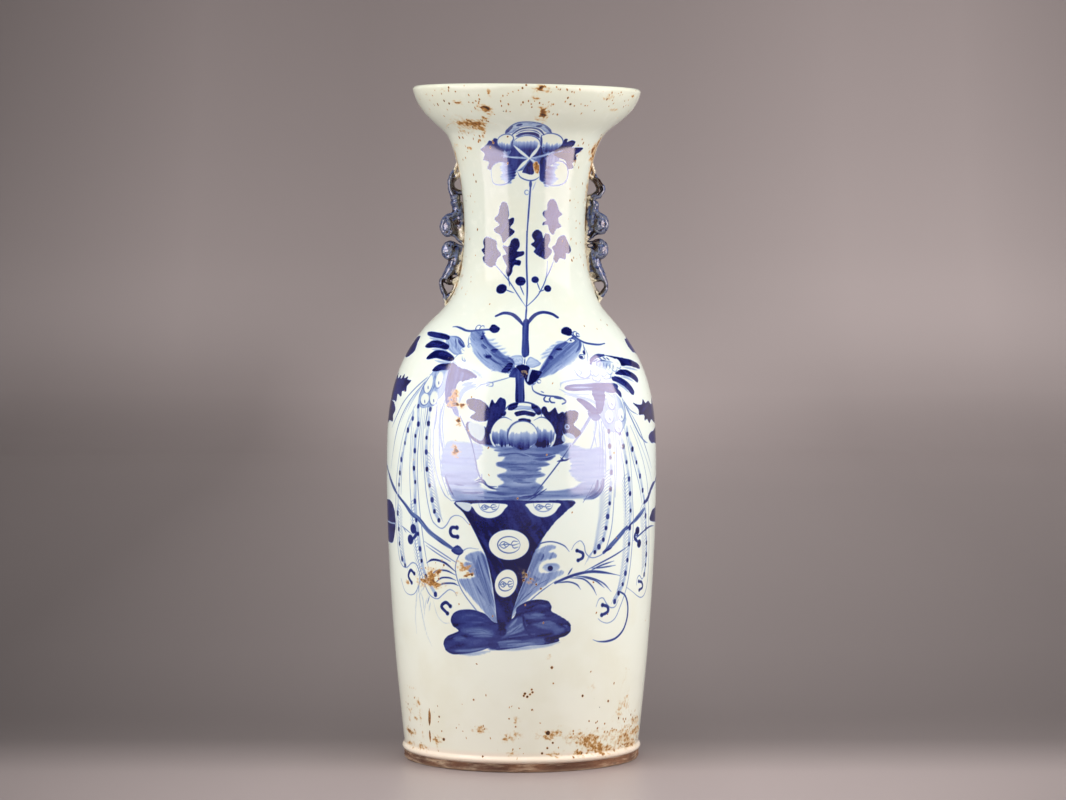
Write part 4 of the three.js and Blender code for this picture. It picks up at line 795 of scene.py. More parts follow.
def paint_neck_bloom(p):
    """The flower at the top of the neck, its petals reserved in dark ground."""
    p.washes([[(-34.5, 544.6), (-30, 549.4), (-28, 551.6), (-25.4, 551), (-24, 553.6), (-20.6, 552.6), (-17, 546),
               (-18, 541), (-23, 543.6), (-28, 545.4)],
              [(-37, 544), (-31, 546.5), (-22, 545), (-17, 540), (-20, 532), (-26, 526), (-33, 527), (-31, 533),
               (-36, 535), (-34, 540)],
              [(24, 546), (29.4, 549), (31, 552.8), (33.6, 553), (34, 550.6), (38, 552.2), (42, 550.6), (41, 547),
               (37, 544.4), (30, 542.6), (24, 541)],
              [(32, 543), (39, 545.5), (52.6, 545.6), (50, 542), (46, 539.5), (48, 535), (44, 532), (46, 528),
               (39, 527), (36, 534), (28, 537), (24, 540)]], INK, streak=0.12)
    p.wash([(-22, 545), (-12, 549), (-8, 552), (10, 551), (14, 550), (29, 547), (27, 541), (30, 536), (26, 528), (22, 520),
            (17, 515.5), (13, 517), (12, 524), (4, 526), (-5, 525), (-12, 522), (-19, 521), (-21, 530), (-20, 538)],
           0.6, streak=0.35, angle=80, grain=(1.2, 9))
    p.washes([[(-10, 549), (-4, 546), (3, 544.6), (9, 546), (13.6, 550), (14, 542), (20, 538), (14, 536), (6, 537),
               (-4, 537.6), (-13, 537.6), (-10.6, 543)],
              [(-20, 536), (-12, 536.8), (-2, 536), (3, 534), (-1, 530), (-6, 526), (-12, 527), (-17, 531)],
              [(-1, 526.6), (2, 531), (5, 534), (7.4, 530), (8, 523), (3, 521.6), (-2, 523)],
              [(12.6, 534), (16.6, 537), (19, 530), (18, 516), (13.6, 517.6), (13.4, 526)]], 0.95, streak=0.15, angle=85)
    for petal in [
        [(-21.5, 549), (-20, 554), (-14.6, 557), (-9.4, 555.6), (-8.6, 550), (-10, 544.4), (-16, 543.5)],
        [(11.6, 549), (11.6, 555), (17, 557.8), (24, 556.6), (29, 553), (30, 548.6), (25, 544), (16, 543.4)],
        [(-30, 520), (-29, 528), (-22, 533), (-13, 531), (-9, 524), (-13, 516), (-20, 513), (-28, 514)],
        [(17, 522), (21, 529), (29, 534), (37, 531), (40.5, 524), (39, 516), (31, 512.5), (20, 513.5)],
        [(-9.4, 549), (-6.4, 553.4), (0, 555.8), (6, 555.2), (10.6, 552), (12, 547), (8, 544.4), (0, 543.6), (-6, 545)],
    ]:
        p.reserve(petal)
        p.stroke(petal + petal[:1], 0.9, DEEP)
    spiky_shade(p, [(-20.6, 548.8), (-17, 549.6), (-13, 549), (-10.2, 551), (-9, 547), (-10, 543), (-18, 542.4)], 0.22)
    spiky_shade(p, [(12.4, 548.6), (17, 549), (22, 548), (28.6, 549), (27, 543), (20, 541.6), (12.6, 542)], 0.24)
    spiky_shade(p, [(-8.6, 550), (-4, 550.6), (2, 550), (8, 551), (11, 549), (8, 543.4), (0, 542.6), (-7, 544)], 0.28)
    spiky_shade(p, [(-22, 530), (-19.6, 524), (-21, 517), (-12, 514), (-7.6, 524), (-12.6, 532)], 0.25, 10)
    spiky_shade(p, [(30, 531), (27, 524), (29, 516), (19, 513), (16, 522), (21, 530)], 0.25, 170)
    p.stroke([(11.6, 556.4), (12.6, 550), (12.6, 544)], 1.8, INK)
    p.stroke([(-9.2, 552.6), (-10, 548), (-9.6, 543.6)], 1.6, INK)
    p.reserve([(-5.6, 523.5), (0, 523.2), (5, 521.6), (9, 521), (12.6, 520), (9, 517.3), (2, 516.8), (-4, 519.6)])
    p.stroke([(-6, 524), (-3.4, 519.5), (3, 516.8), (9, 517.3), (13.5, 520.5)], 1.1, DEEP)
    for tip, bend, width, keep in [((-8.4, 547), -0.6, 2.6, 0.08), ((11.8, 547), -0.4, 2.9, 0.08), ((-6.4, 525.4), 0.3, 2.8, 0.05),
                                   ((24.4, 542), -0.9, 1.8, 0.35), ((-19, 538.4), -0.5, 1.5, 0.4), ((11, 529.6), 0.6, 1.8, 0.2)]:
        bare_arm(p, [(4, 536), ((tip[0] + 4) / 2, (tip[1] + 536) / 2 + bend), tip], width, keep)
    p.wash(oval((10, 528), 2.6, 5.2, -0.6), 0.74, streak=0.35, angle=80, rim=0, soft=0.9, layer=p.rust)
    p.reserve(oval((10, 528), 2.6, 5.2, -0.6), 0.12)
    band = [(-14.6, 557.2), (-11.4, 562.4), (-5, 566.8), (3, 567.4), (10, 565.8), (15.4, 562.6), (19, 558.2)]
    p.wash(band + [(14.6, 558.4), (10, 562), (3, 563.6), (-4, 562.6), (-9, 558.4)], 0.3, streak=0.5, grain=(0.8, 6), rim=0.3)
    p.stroke(band, 1.1, DEEP, start=0.6, end=0.6)
    p.strokes([[(-9.4, 556.8), (-4, 561), (3, 562.4), (9.4, 560.8), (13.6, 556.6)]], 2, INK, start=0.5, end=0.6)
    p.strokes([[(-6.6, 557.4), (-2, 559.9), (3, 560.5), (7.6, 559.4), (11, 557)]], 1, INK)
    p.wash([(-7.4, 555.4), (-4, 557.6), (0, 558.8), (5.4, 558.8), (9.4, 557), (10.6, 553.6), (6, 556), (0, 556.6), (-5, 554.6)],
           0.9, streak=0.25)
    p.stroke([(-14, 558.4), (-11.6, 561), (-8.8, 563.8)], 3.2, INK, start=0.5, end=0.5)
    p.strokes([[(-5.6, 564.4), (-2.6, 565.4)], [(7.4, 563.8), (10.4, 564)]], 3, INK, start=0.7, end=0.6)
    p.stroke([(13, 563.4), (16, 561.4), (18.4, 558.6)], 2.4, DEEP, start=0.5, end=0.5)
    p.strokes([[(1, 565.8), (4.6, 565.8)], [(-9, 559.6), (-7.4, 561)]], 1.6, MID)


def paint_neck_sprigs(p):
    leaves = [
        [(-20, 498), (-16, 496), (-14.5, 488), (-15, 483), (-12, 484), (-9.5, 483.5), (-10.5, 479), (-13.5, 475.5),
         (-9, 472), (-12, 468.5), (-15.5, 466), (-20, 462), (-22.5, 468), (-30, 473), (-27, 476), (-24, 478),
         (-29, 483), (-25, 487), (-23, 494)],
        [(-38.5, 467), (-33, 466), (-27, 463), (-26.5, 457), (-22, 452), (-25, 448), (-27.5, 443), (-31, 440.5),
         (-36, 442.5), (-40, 445.5), (-41.5, 449), (-39.5, 451), (-43.5, 455.5), (-40.5, 458), (-42, 463)],
        [(-9, 466), (-5.5, 464.5), (-4.5, 459), (-7, 454.5), (-1, 454.5), (-0.8, 451.5), (-5, 449.5), (-8, 447.5),
         (-3.5, 446), (-4, 442), (-8.5, 442.5), (-10.5, 440), (-11, 436), (-14, 432), (-16.5, 436), (-16, 442),
         (-20.5, 450), (-16.5, 452), (-20.5, 458.5), (-14.5, 459), (-12.5, 464)],
        [(25, 500.5), (29, 499), (32, 494), (34, 490), (37.5, 487), (33, 484), (34, 479.5), (37, 476), (31, 474),
         (27.5, 469), (23.5, 473), (22, 477.5), (17, 477.5), (17.5, 480), (20.5, 482), (16.8, 487), (18, 490), (21, 491),
         (21.5, 497)],
        [(12, 473.5), (16.5, 471), (17.5, 466), (20, 470), (23.5, 469), (24.5, 464), (22, 459), (26, 455), (23, 450),
         (19, 447.5), (14.5, 449.5), (8.5, 453.5), (10, 457), (5.8, 460.5), (9, 463.5), (6.8, 468), (8, 471.5)],
        [(40, 468.5), (44, 463), (48, 456), (45.5, 452.5), (41.5, 452.5), (40, 447.5), (34, 448.5), (30, 444.5),
         (27, 448), (28.5, 453), (26, 458), (30, 460.5), (33, 466)],
    ]
    p.washes(leaves, INK, streak=0.1, angle=60)
    p.strokes([[(5.5, 518), (5, 507), (3.8, 490), (2.3, 470)], [(2.3, 472), (1.8, 445), (2.3, 424), (2.4, 405)]], 1.5, DEEP,
              start=0.9, end=0.7)
    p.stroke([(5.3, 517), (5.2, 510)], 2.6, DEEP)
    p.stroke([(10, 516), (7, 508)], 0.9, PALE)
    p.stroke(oval((2, 506.3), 1.9, 2) + [(3.9, 506.3)], 0.8, MID)
    p.strokes([[(-27.5, 443), (-15, 430.5), (-5, 416.5), (2, 406)], [(-14.5, 434), (-12.3, 424)], [(-16, 421), (-8, 418)],
               [(2.3, 406), (9, 413.5), (13, 419.5), (19, 432), (21, 446)], [(10.5, 427), (12.8, 420)], [(12, 419), (17, 421)],
               [(18, 430), (23, 438), (27, 446)], [(-4, 425), (0, 416)], [(-20, 459.5), (-14, 457.5)]], 0.9, DEEP, start=0.7)
    p.dots([(-28, 443)], 1.4, INK)
    for x, z, radius in [(-19, 421.5, 4.6), (-3.4, 428.3, 4.4), (9, 429.6, 3.2), (19.3, 421.8, 3.2)]:
        p.wash(oval((x, z), radius, 0.92 * radius), INK, streak=0.05, ragged=0.2)


# The sprays on the back: degrees, height in mm and size
BACK_SPRAYS = [(180, 222, 1), (180, 472, 0.45)]


def paint_back_spray(p, middle, height, scale):
    """A peony spray for the pot's unseen back. Its places are mm from a middle point."""
    mm_per_degree = np.interp(height, p.heights, p.mm_per_degree)

    def at(*places):
        return [(middle + scale * x / mm_per_degree, height + scale * z) for x, z in places]

    p.stroke(at((3, -92), (-5, -50), (3, 0), (0, 50)), 4.4 * scale, DEEP, streak=0.4)
    for (x0, z0), (x1, z1), wide in [((2, -18), (50, 8), 12), ((2, -20), (-48, -2), 12), ((-5, -50), (42, -50), 10),
                                     ((-4, -52), (-42, -66), 10), ((2, 16), (-36, 38), 9), ((2, 14), (38, 42), 9)]:
        along = math.hypot(x1 - x0, z1 - z0)
        u, v = (x1 - x0) / along, (z1 - z0) / along
        ring = [(x0 + a * along * u - b * wide * v, z0 + a * along * v + b * wide * u) for a, b in
                [(0.2, 0.1), (0.4, 0.9), (0.52, 0.6), (0.7, 0.8), (0.78, 0.45), (1, 0), (0.78, -0.45), (0.7, -0.8),
                 (0.52, -0.6), (0.4, -0.9), (0.2, -0.1)]]
        p.wash(at(*ring), 0.86, angle=math.degrees(math.atan2(v, u)), streak=0.3, grain=(1.2, 16))
        rib = at((x0 + 0.25 * along * u, z0 + 0.25 * along * v), (x0 + 0.6 * along * u, z0 + 0.6 * along * v + 1), (x1, z1))
        p.stroke(rib, 1.2 * scale, INK)
        p.stroke(at((x0, z0), (x0 + 0.3 * along * u, z0 + 0.3 * along * v)), 1.6 * scale, DEEP)
    for turn in (18, 90, 162, 234, 306):
        x, z = 18 * math.cos(math.radians(turn)), 66 + 17 * math.sin(math.radians(turn))
        petal = [(x + 15 * math.cos(a), z + 13 * math.sin(a)) for a in np.linspace(0, 2 * math.pi, 13)[:-1]]
        p.reserve(at(*petal))
        p.stroke(at(*petal, petal[0]), 1.1 * scale, MID)
        for lean in (-24, -12, 0, 12, 24):
            a = math.radians(turn + lean)
            p.stroke(at((7 * math.cos(a), 66 + 7 * math.sin(a)), (22 * math.cos(a), 66 + 21 * math.sin(a))), 4 * scale,
                     0.55, start=1, end=0.05, streak=0.5, soft=0.8)
    p.wash(at(*[(8 * math.cos(a), 66 + 8 * math.sin(a)) for a in np.linspace(0, 2 * math.pi, 11)[:-1]]), INK)
    for x, z, out, up in [(-8, -88, -30, 26), (-6, -88, -44, 12), (8, -88, 30, 28), (9, -88, 46, 14), (10, -90, 54, 2),
                          (-9, -90, -54, 0)]:
        p.stroke(at((x, z), (x + 0.5 * out, z + 0.75 * up), (x + out, z + 0.6 * up)), 1.5 * scale, DEEP, start=0.9, end=0.1)
    rock = [(-40, -100), (-36, -92), (-24, -88), (-14, -90), (-6, -83), (8, -82), (16, -89), (28, -87), (38, -93),
            (40, -101), (22, -106), (0, -104), (-22, -107)]
    p.wash(at(*rock), 0.8, streak=0.4, grain=(1.4, 14), angle=12, rim=0.15)


def paint_front(p):
    for paint in (paint_top_flower_stem, paint_bowl, paint_peony, paint_stand, paint_base_leaves, paint_rocks,
                  paint_left_tails, paint_right_tails, paint_left_rump, paint_right_rump, paint_left_wing,
                  paint_right_wing, paint_right_leg_and_plumes, paint_left_phoenix, paint_right_phoenix, paint_bird_legs, paint_side_leaves,
                  paint_left_branch, paint_right_branch, paint_neck_sprigs, paint_neck_bloom):
        paint(p)


# Stains as middle in degrees and mm, half sizes in degrees and mm, and how strong they are
BLOTS = [
    (-68, 27, 3, 2.4, 0.62), (-68.5, 16, 3, 1.8, 0.45), (-56, 56, 1.4, 3, 0.3), (-55.5, 45, 1.2, 4, 0.34),
    (-59, 41, 1.4, 1, 0.4), (-57, 16, 2.6, 2, 0.42), (-55, 27, 1, 2, 0.3), (-44.5, 24.5, 2, 2.4, 0.48),
    (-65, 47, 2, 1.2, 0.4), (-67, 39, 1.2, 1.6, 0.36), (-61, 68, 2.6, 0.8, 0.24), (-19.5, 37, 2, 2.6, 0.44),
    (-5, 33, 3.4, 3.6, 0.2), (-2.5, 47, 1, 3, 0.26), (-4.7, 16, 1.6, 1.3, 0.45), (-6.5, 30.5, 1.2, 1.6, 0.36),
    (-3, 35, 1, 1.6, 0.34), (14.5, 33, 3.4, 3, 0.42), (8, 34, 1, 2, 0.28), (15.5, 15.6, 2.6, 1.3, 0.45),
    (27.5, 31, 3, 2.4, 0.4), (28, 16, 1.8, 2, 0.42), (33, 26, 5, 4, 0.46), (38, 20, 5, 4.4, 0.5), (44, 16.5, 5, 3, 0.58),
    (49, 30, 3, 2.6, 0.32), (53, 50, 2, 5, 0.26), (57, 55, 2.2, 5, 0.26), (62, 24, 6, 4, 0.44), (66, 17, 7, 2.6, 0.5),
    (70, 36, 4, 3, 0.34), (74, 26, 5, 3.4, 0.42), (34, 74, 1.4, 4, 0.12), (54, 82, 1.6, 10, 0.1),
    (-45, 566.5, 5, 1.6, 0.62), (-37, 566, 4, 1.9, 0.7), (-31, 566.6, 3, 1.3, 0.66), (-32.5, 562.6, 1.9, 2.6, 0.62),
    (-26, 571, 1.5, 0.9, 0.8), (-23, 577.5, 2.2, 1.9, 0.85), (-21.2, 573.8, 0.8, 0.8, 0.7), (-51, 560.5, 2.4, 1.8, 0.34),
    (-38, 583.6, 1.7, 0.9, 0.6), (-47, 594, 1.6, 1, 0.4), (-19, 593.6, 0.7, 2, 0.5), (9.3, 575, 1.6, 3.8, 0.85),
    (6.8, 595.6, 1.9, 1.6, 0.92), (4.5, 587.5, 1.2, 1, 0.7), (45, 589.5, 4, 2.4, 0.24), (56, 579, 4, 1.2, 0.26),
    (69, 593, 1.4, 0.8, 0.5), (72, 545, 3, 3, 0.8), (75.5, 537.5, 4, 3, 0.75), (79, 551, 3, 3.4, 0.7), (80, 526, 4, 5, 0.6),
    (77, 508, 2, 6, 0.5), (46, 22, 14, 6, 0.2), (66, 26, 12, 8, 0.24), (-38, 565, 9, 4, 0.3),
    (-68, 548.5, 3, 1, 0.46), (-50, 545.5, 2.2, 0.8, 0.4), (-33, 554, 1.2, 1.4, 0.34), (86, 520, 5, 12, 0.5),
    (88, 490, 3, 16, 0.44), (88, 440, 5, 24, 0.4), (-88, 530, 4, 8, 0.4), (-86, 440, 4, 26, 0.34), (-88, 480, 3, 14, 0.3),
    (-43.5, 165.5, 3.2, 3, 0.66), (-41, 170, 2, 4, 0.62),
    (-37.5, 175.5, 1.6, 2, 0.62), (-39.6, 163, 2.6, 2, 0.62), (-58, 163, 1.2, 1.6, 0.4), (-28, 157, 1, 1.4, 0.4), (-25, 180, 2.6, 3, 0.42),
    (-23, 175, 1.4, 2, 0.7), (2.6, 173, 1.8, 4, 0.19), (5, 168.5, 1.4, 2.4, 0.2), (-30.4, 329, 1.1, 3.6, 0.85),
    (-29.2, 322.5, 1.5, 2, 0.9), (-25.9, 321.7, 0.8, 1.2, 0.85), (-27.2, 308.1, 0.8, 2, 0.95), (-28.1, 281, 1.1, 3, 1), (12, 103, 1, 1.5, 0.3), (128, 31, 6, 5, 0.46),
    (152, 19, 7, 3, 0.5), (-140, 24, 5, 4, 0.44), (-118, 40, 2, 6, 0.34), (172, 588, 4, 2, 0.6), (-150, 571, 5, 2, 0.6),
    (118, 584, 2, 2, 0.7), (140, 350, 1.6, 3, 0.4), (-160, 120, 2, 4, 0.3),
]
# Thin runs and scratches: their points, width in mm and strength
RUNS = [
    ([(-47.7, 52), (-48, 44), (-48.6, 37)], 3.2, 1), ([(-48.8, 32), (-49, 22)], 2.6, 0.92),
    ([(-53, 567.6), (-62, 565.6), (-70, 563)], 0.8, 0.7), ([(52, 66), (53.5, 78), (55.5, 93)], 0.7, 0.18),
    ([(47, 72), (50, 90)], 0.6, 0.14), ([(62, 50), (70, 36), (78, 25)], 1, 0.3), ([(60, 34), (68, 26), (78, 18)], 1.2, 0.4),
    ([(-20, 300), (-17, 280)], 0.5, 0.3), ([(-26.6, 570.6), (-28.5, 567.4)], 0.9, 0.8),
    ([(-82, 550), (-79, 537), (-81, 522), (-80, 505)], 3.2, 0.75), ([(82, 558), (79, 543), (83, 530), (80, 512)], 3.8, 0.8),
    ([(84, 500), (83, 480), (85, 462)], 2.4, 0.6), ([(-84, 500), (-83, 470), (-85, 440)], 2.4, 0.65),
    ([(78, 472), (79, 455)], 1.1, 0.5), ([(72, 454), (73, 440)], 0.9, 0.45), ([(66, 448), (67, 436)], 0.8, 0.4),
    ([(74, 556), (77, 546), (73, 540)], 2, 0.6), ([(-76, 545), (-78, 538)], 1.6, 0.6), ([(-29, 566), (-27.6, 564)], 2.4, 0.85),
]
DARK_SPECKS = [
    (2.2, 175, 0.8), (4, 171.4, 0.7), (1.2, 170, 0.6), (6.4, 166.4, 0.6), (8.4, 162.6, 0.5), (-21, 174, 0.8), (-23.4, 172.6, 0.6),
    (-39.6, 26, 1.1), (12.6, 35, 1.5), (12.5, 21.5, 0.8), (15, 26, 0.7), (13.7, 93, 1), (14.5, 79, 0.5), (-18.5, 13.6, 0.7),
    (44, 59.5, 0.8), (29, 66.5, 0.8), (1.8, 70.4, 0.8), (2.8, 67.6, 0.8), (4, 69.6, 0.7), (5.2, 71.4, 0.8), (4.8, 74, 0.7),
    (1.2, 68.4, 0.6), (5, 56, 0.6), (-22, 64, 0.6), (-41.5, 46, 0.6), (-5.5, 48, 0.5), (10, 17, 0.7), (23.5, 583, 0.8),
    (26, 581.5, 0.5), (2.5, 582.5, 0.6), (2.8, 579.8, 0.5), (-2, 596, 0.6), (-4, 594, 0.5), (-31.5, 584, 0.5),
    (-29, 583.5, 0.5), (-25.3, 584.5, 0.5), (-24, 568, 0.6), (-42, 596.5, 0.7), (32.5, 582, 0.5), (-13, 555, 0.6),
    (23, 593.6, 0.5), (-9, 576, 0.5), (-67, 52, 0.8), (-2.5, 41, 0.5),
]
# Fields of small specks: degrees from and to, mm from and to, how many, biggest radius in mm
SPECK_FIELDS = [
    (-75, 75, 572, 599, 90, 0.8), (-60, -25, 545, 570, 34, 0.9), (45, 85, 440, 560, 60, 0.8),
    (-80, -48, 405, 560, 26, 0.7), (25, 80, 12, 45, 70, 0.9), (-75, 20, 12, 60, 36, 0.6), (-60, 60, 60, 400, 16, 0.6),
    (-180, 180, 12, 560, 60, 0.7), (-48, -34, 160, 185, 10, 0.8), (75, 285, 560, 600, 90, 0.8), (100, 240, 12, 60, 60, 0.9),
]


def paint_stains(p):
    """Brown kiln stains, runs and specks, and a few scratches."""
    rng = np.random.default_rng(23)
    for degrees, height, across, up, tone in BLOTS:
        spread = list(zip(oval((0, 0), 1.35 * across, 1.35 * up, count=11), rng.uniform(0.6, 1.25, 11)))
        how = dict(angle=rng.uniform(-25, 25), rim=0, layer=p.rust)
        for size, strength, ragged, soft in ((1.8, 0.32, 2.5, 2.5), (1, 0.92, 1.3, 1.3)):
            ring = [(degrees + size * k * x, height + size * k * z) for (x, z), k in spread]
            p.wash(ring, strength * tone, streak=0.5, grain=(0.9, 3.5), ragged=ragged, soft=soft, **how)
    for points, width, tone in RUNS:
        p.stroke(points, width, tone, streak=0.4, layer=p.rust)
    for degrees, height, radius in DARK_SPECKS:
        p.dots([(degrees, height)], 1.3 * radius, 1, layer=p.rust)
    for first, last, low, high, count, biggest in SPECK_FIELDS:
        for _ in range(count):
            x, z = rng.uniform(first, last), rng.uniform(low, high)
            radius, tone = biggest * rng.uniform(0.5, 1) ** 2, rng.uniform(0.66, 1)
            lean, rise = rng.uniform(-1, 1), rng.uniform(0, 1.6)
            p.stroke([(x, z), (x + 0.5 * lean, z + 0.3 + rise)], 2.3 * radius, tone, start=0.8, layer=p.rust)


MM = 0.001

# The pot's wall, bead and lip in mm, as the frame has them
ANKLE_RADIUS, FOOT_HEIGHT, FLOOR_TOP = 105.2, 7.6, 17.6
BEAD_CENTRE, BEAD_RADIUS, BEAD_ARC = (104.3, 10.6), 3, (-75, 62)
LIP_CENTRE, LIP_ARC_RADIUS = (98.9, 597), 3
WALL_WIDTHS = [(0, 8.4), (12.8, 8.4), (WAIST_HEIGHT, 7), (NECK_HEIGHT, 9), (MOUTH_HEIGHT, 8), (597, 6)]
PATH_STEP = 0.36
SMOOTHING = 0.35
KINK_SMOOTHING = 5

# The sections as [piece, lowest height, highest height, the nodes it stands for]
SECTIONS = [
    ("lower_body_glazed", FOOT_HEIGHT, WAIST_HEIGHT, ["lower_body"]),
    ("upper_body_glazed", WAIST_HEIGHT, NECK_HEIGHT, ["upper_body", "shoulder"]),
    ("neck_glazed", NECK_HEIGHT, MOUTH_HEIGHT, ["lower_neck", "upper_neck"]),
    ("mouth_glazed", MOUTH_HEIGHT, 1000, ["mouth"]),
]

# How the kiln moved the pot, in mm: the neck and mouth slid sideways and the rim dips on one side
NECK_SHIFT, MOUTH_SHIFT, SHIFT_BLEND, RIM_TILT = 3, 1.8, 25, 0.015
# How far the normals turn up at some heights, which shapes the glints under the rim and at the neck's root
NORMAL_TURNS = [(403, 0), (414, 0.11), (438, 0.11), (452, 0), (578, 0), (586, -0.2), (593, -0.2), (597, 0)]


def arc(centre, radius, first, last, count):
    turns = np.radians(np.linspace(first, last, count))
    return np.column_stack([centre[0] + radius * np.cos(turns), centre[1] + radius * np.sin(turns)])


def resample(path, step):
    """Points an even step apart along a path."""
    travelled = np.concatenate([[0], np.cumsum(np.hypot(*np.diff(path, axis=0).T))])
    even = np.linspace(0, travelled[-1], max(2, round(travelled[-1] / step)) + 1)
    return np.column_stack([np.interp(even, travelled, path[:, k]) for k in (0, 1)])


def smooth_path(path, spread):
    """A path with its corners softened over a distance in points. Its ends stay."""
    reach = int(3 * spread)
    weights = np.exp(-0.5 * (np.arange(-reach, reach + 1) / spread) ** 2)
    ends = [2 * path[0] - path[reach:0:-1], path, 2 * path[-1] - path[-2 : -reach - 2 : -1]]
    padded = np.vstack(ends)
    return np.column_stack([np.convolve(padded[:, k], weights / weights.sum(), "valid") for k in (0, 1)])


def pot_path():
    """The whole wall in section: up the outside, over the lip and down the inside to the floor."""
    wall = smooth_path(resample(OUTLINE, PATH_STEP), KINK_SMOOTHING / PATH_STEP)
    inner = wall.copy()
    inner[:, 0] -= np.interp(wall[:, 1], *zip(*WALL_WIDTHS))
    inner = inner[(inner[:, 1] > FLOOR_TOP) & (inner[:, 1] < LIP_CENTRE[1])]
    outer = wall[(wall[:, 1] > 14) & (wall[:, 1] < LIP_CENTRE[1])]
    path = np.vstack(
        [
            [(ANKLE_RADIUS, FOOT_HEIGHT)],
            arc(BEAD_CENTRE, BEAD_RADIUS, *BEAD_ARC, 12),
            outer,
            arc(LIP_CENTRE, LIP_ARC_RADIUS, 0, 180, 14),
            inner[::-1],
        ]
    )
    return smooth_path(resample(path, PATH_STEP), SMOOTHING / PATH_STEP)


def path_normals(path):
    """Unit normals of the path, out of the clay."""
    along = np.gradient(path, axis=0)
    normals = np.column_stack([along[:, 1], -along[:, 0]])
    return normals / np.linalg.norm(normals, axis=1)[:, None]


def kiln_warp(x, y, z):
    """Where the kiln moved points, in mm."""
    neck = ramp(z, NECK_HEIGHT - SHIFT_BLEND, NECK_HEIGHT + SHIFT_BLEND)
    mouth = ramp(z, MOUTH_HEIGHT - SHIFT_BLEND, MOUTH_HEIGHT + SHIFT_BLEND)
    dip = RIM_TILT * x * ramp(z, MOUTH_HEIGHT, RIM_HEIGHT)
    return x + NECK_SHIFT * neck + MOUTH_SHIFT * mouth, y, z - dip


def warp_lean(z):
    """How fast the sideways move grows with height, which turns the normals."""
    at = np.array([z - 0.5, z + 0.5])
    moved = kiln_warp(np.zeros_like(at), 0, at)[0]
    return moved[1] - moved[0]


def turned_up(out, z):
    """How far the outside's normals turn up from the smooth curve, as the hand-thrown wall does."""
    return (out > 0.5) * np.interp(z, *zip(*NORMAL_TURNS))


# Square cells of a strip of wall: the biggest one's side, in samples, and how far paint may stray inside one
BIGGEST_CELL = 16
PAINT_TOLERANCE = 0.07
FRONT_FAVOUR = 0.55


def straying(field, size):
    """How far each block's samples stray from an even blend of the block's corners."""
    share = np.arange(size) / size
    a, b = field[:-1:size, :-1:size], field[:-1:size, size::size]
    c, d = field[size::size, :-1:size], field[size::size, size::size]
    v, u = share[None, :, None, None], share[None, None, None, :]
    corners = [k[:, None, :, None] for k in (a, b, c, d)]
    blend = (corners[0] * (1 - u) + corners[1] * u) * (1 - v) + (corners[2] * (1 - u) + corners[3] * u) * v
    rows, columns = a.shape
    samples = field[:-1, :-1].reshape(rows, size, columns, size)
    return np.abs(samples - blend).max(axis=(1, 3))


def split_blocks(fields):
    """Which blocks of each size are split further, so that neighbours differ by one size at most."""
    sizes = [BIGGEST_CELL >> i for i in range(BIGGEST_CELL.bit_length() - 1)][::-1]
    split = {}
    for size in sizes:
        split[size] = np.max([straying(f, size) for f in fields], axis=0) > PAINT_TOLERANCE
    for size in sizes[:-1]:
        near = split[size] | np.roll(split[size], 1, 1) | np.roll(split[size], -1, 1)
        near[1:] |= near[:-1].copy()
        near[:-1] |= near[1:].copy()
        rows, columns = near.shape
        split[2 * size] |= near.reshape(rows // 2, 2, columns // 2, 2).any(axis=(1, 3))
    return split


def cells_of(fields):
    """The corners of every cell, as rows and columns of samples, with -1 where a side has no middle point."""
    rows, columns = fields[0].shape[0] - 1, fields[0].shape[1] - 1
    split = split_blocks(fields)
    used = np.zeros((rows + 1, columns), bool)
    exists = np.ones((rows // BIGGEST_CELL, columns // BIGGEST_CELL), bool)
    leaves = []
    size = BIGGEST_CELL
    while size:
        divide = split[size] & exists if size > 1 else np.zeros_like(exists)
        r, c = (k * size for k in np.nonzero(exists & ~divide))
        leaves.append((size, r, c))
        for dr, dc in ((0, 0), (0, size), (size, 0), (size, size)):
            used[r + dr, (c + dc) % columns] = True
        exists = divide.repeat(2, 0).repeat(2, 1)
        size //= 2
    faces = []
    for size, r, c in leaves:
        half = size // 2
        ring = [(0, 0), (0, half), (0, size), (half, size), (size, size), (size, half), (size, 0), (half, 0)]
        at = np.stack([np.stack([r + dr, c + dc], -1) for dr, dc in ring], 1)
        keep = used[at[..., 0], at[..., 1] % columns]
        if size == 1:
            keep[:, 1::2] = False
        at[~keep] = -1
        faces.append(at)
    return used, np.concatenate(faces)


def strip_mesh(path, normals, layers, span):
    """The turned surface of a strip of wall, with small cells only where the paint needs them."""
    bends = [np.repeat(path[:, k : k + 1], layers[0].shape[1], 1) for k in (0, 1)]
    used, faces = cells_of(layers + bends)
    columns = used.shape[1]
    row, column = np.nonzero(used)
    ids = np.full(used.shape, -1)
    ids[row, column] = np.arange(len(row))
    turn = column / columns * 2 * math.pi - math.pi
    radius, z = path[row].T
    place = np.stack(kiln_warp(radius * np.sin(turn), -radius * np.cos(turn), z), -1)
    out, up = normals[row].T
    facing = np.stack([out * np.sin(turn), -out * np.cos(turn), up], -1)
    facing[:, 2] += turned_up(out, z) - warp_lean(z) * facing[:, 0]
    keep = faces[..., 0] >= 0
    corner = faces[keep]
    uv = np.column_stack([front_share(corner[:, 1] / columns), span[0] + (span[1] - span[0]) * corner[:, 0] / (len(path) - 1)])
    return {
        "place": place * MM,
        "facing": facing / np.linalg.norm(facing, axis=1)[:, None],
        "layers": [layer[row, column] for layer in layers],
        "corner": ids[corner[:, 0], corner[:, 1] % columns],
        "sides": keep.sum(1),
        "uv": uv,
    }


def front_share(turn):
    """Gives the painted front more of the map than the back."""
    return turn - FRONT_FAVOUR * np.sin(2 * math.pi * turn) / (2 * math.pi)


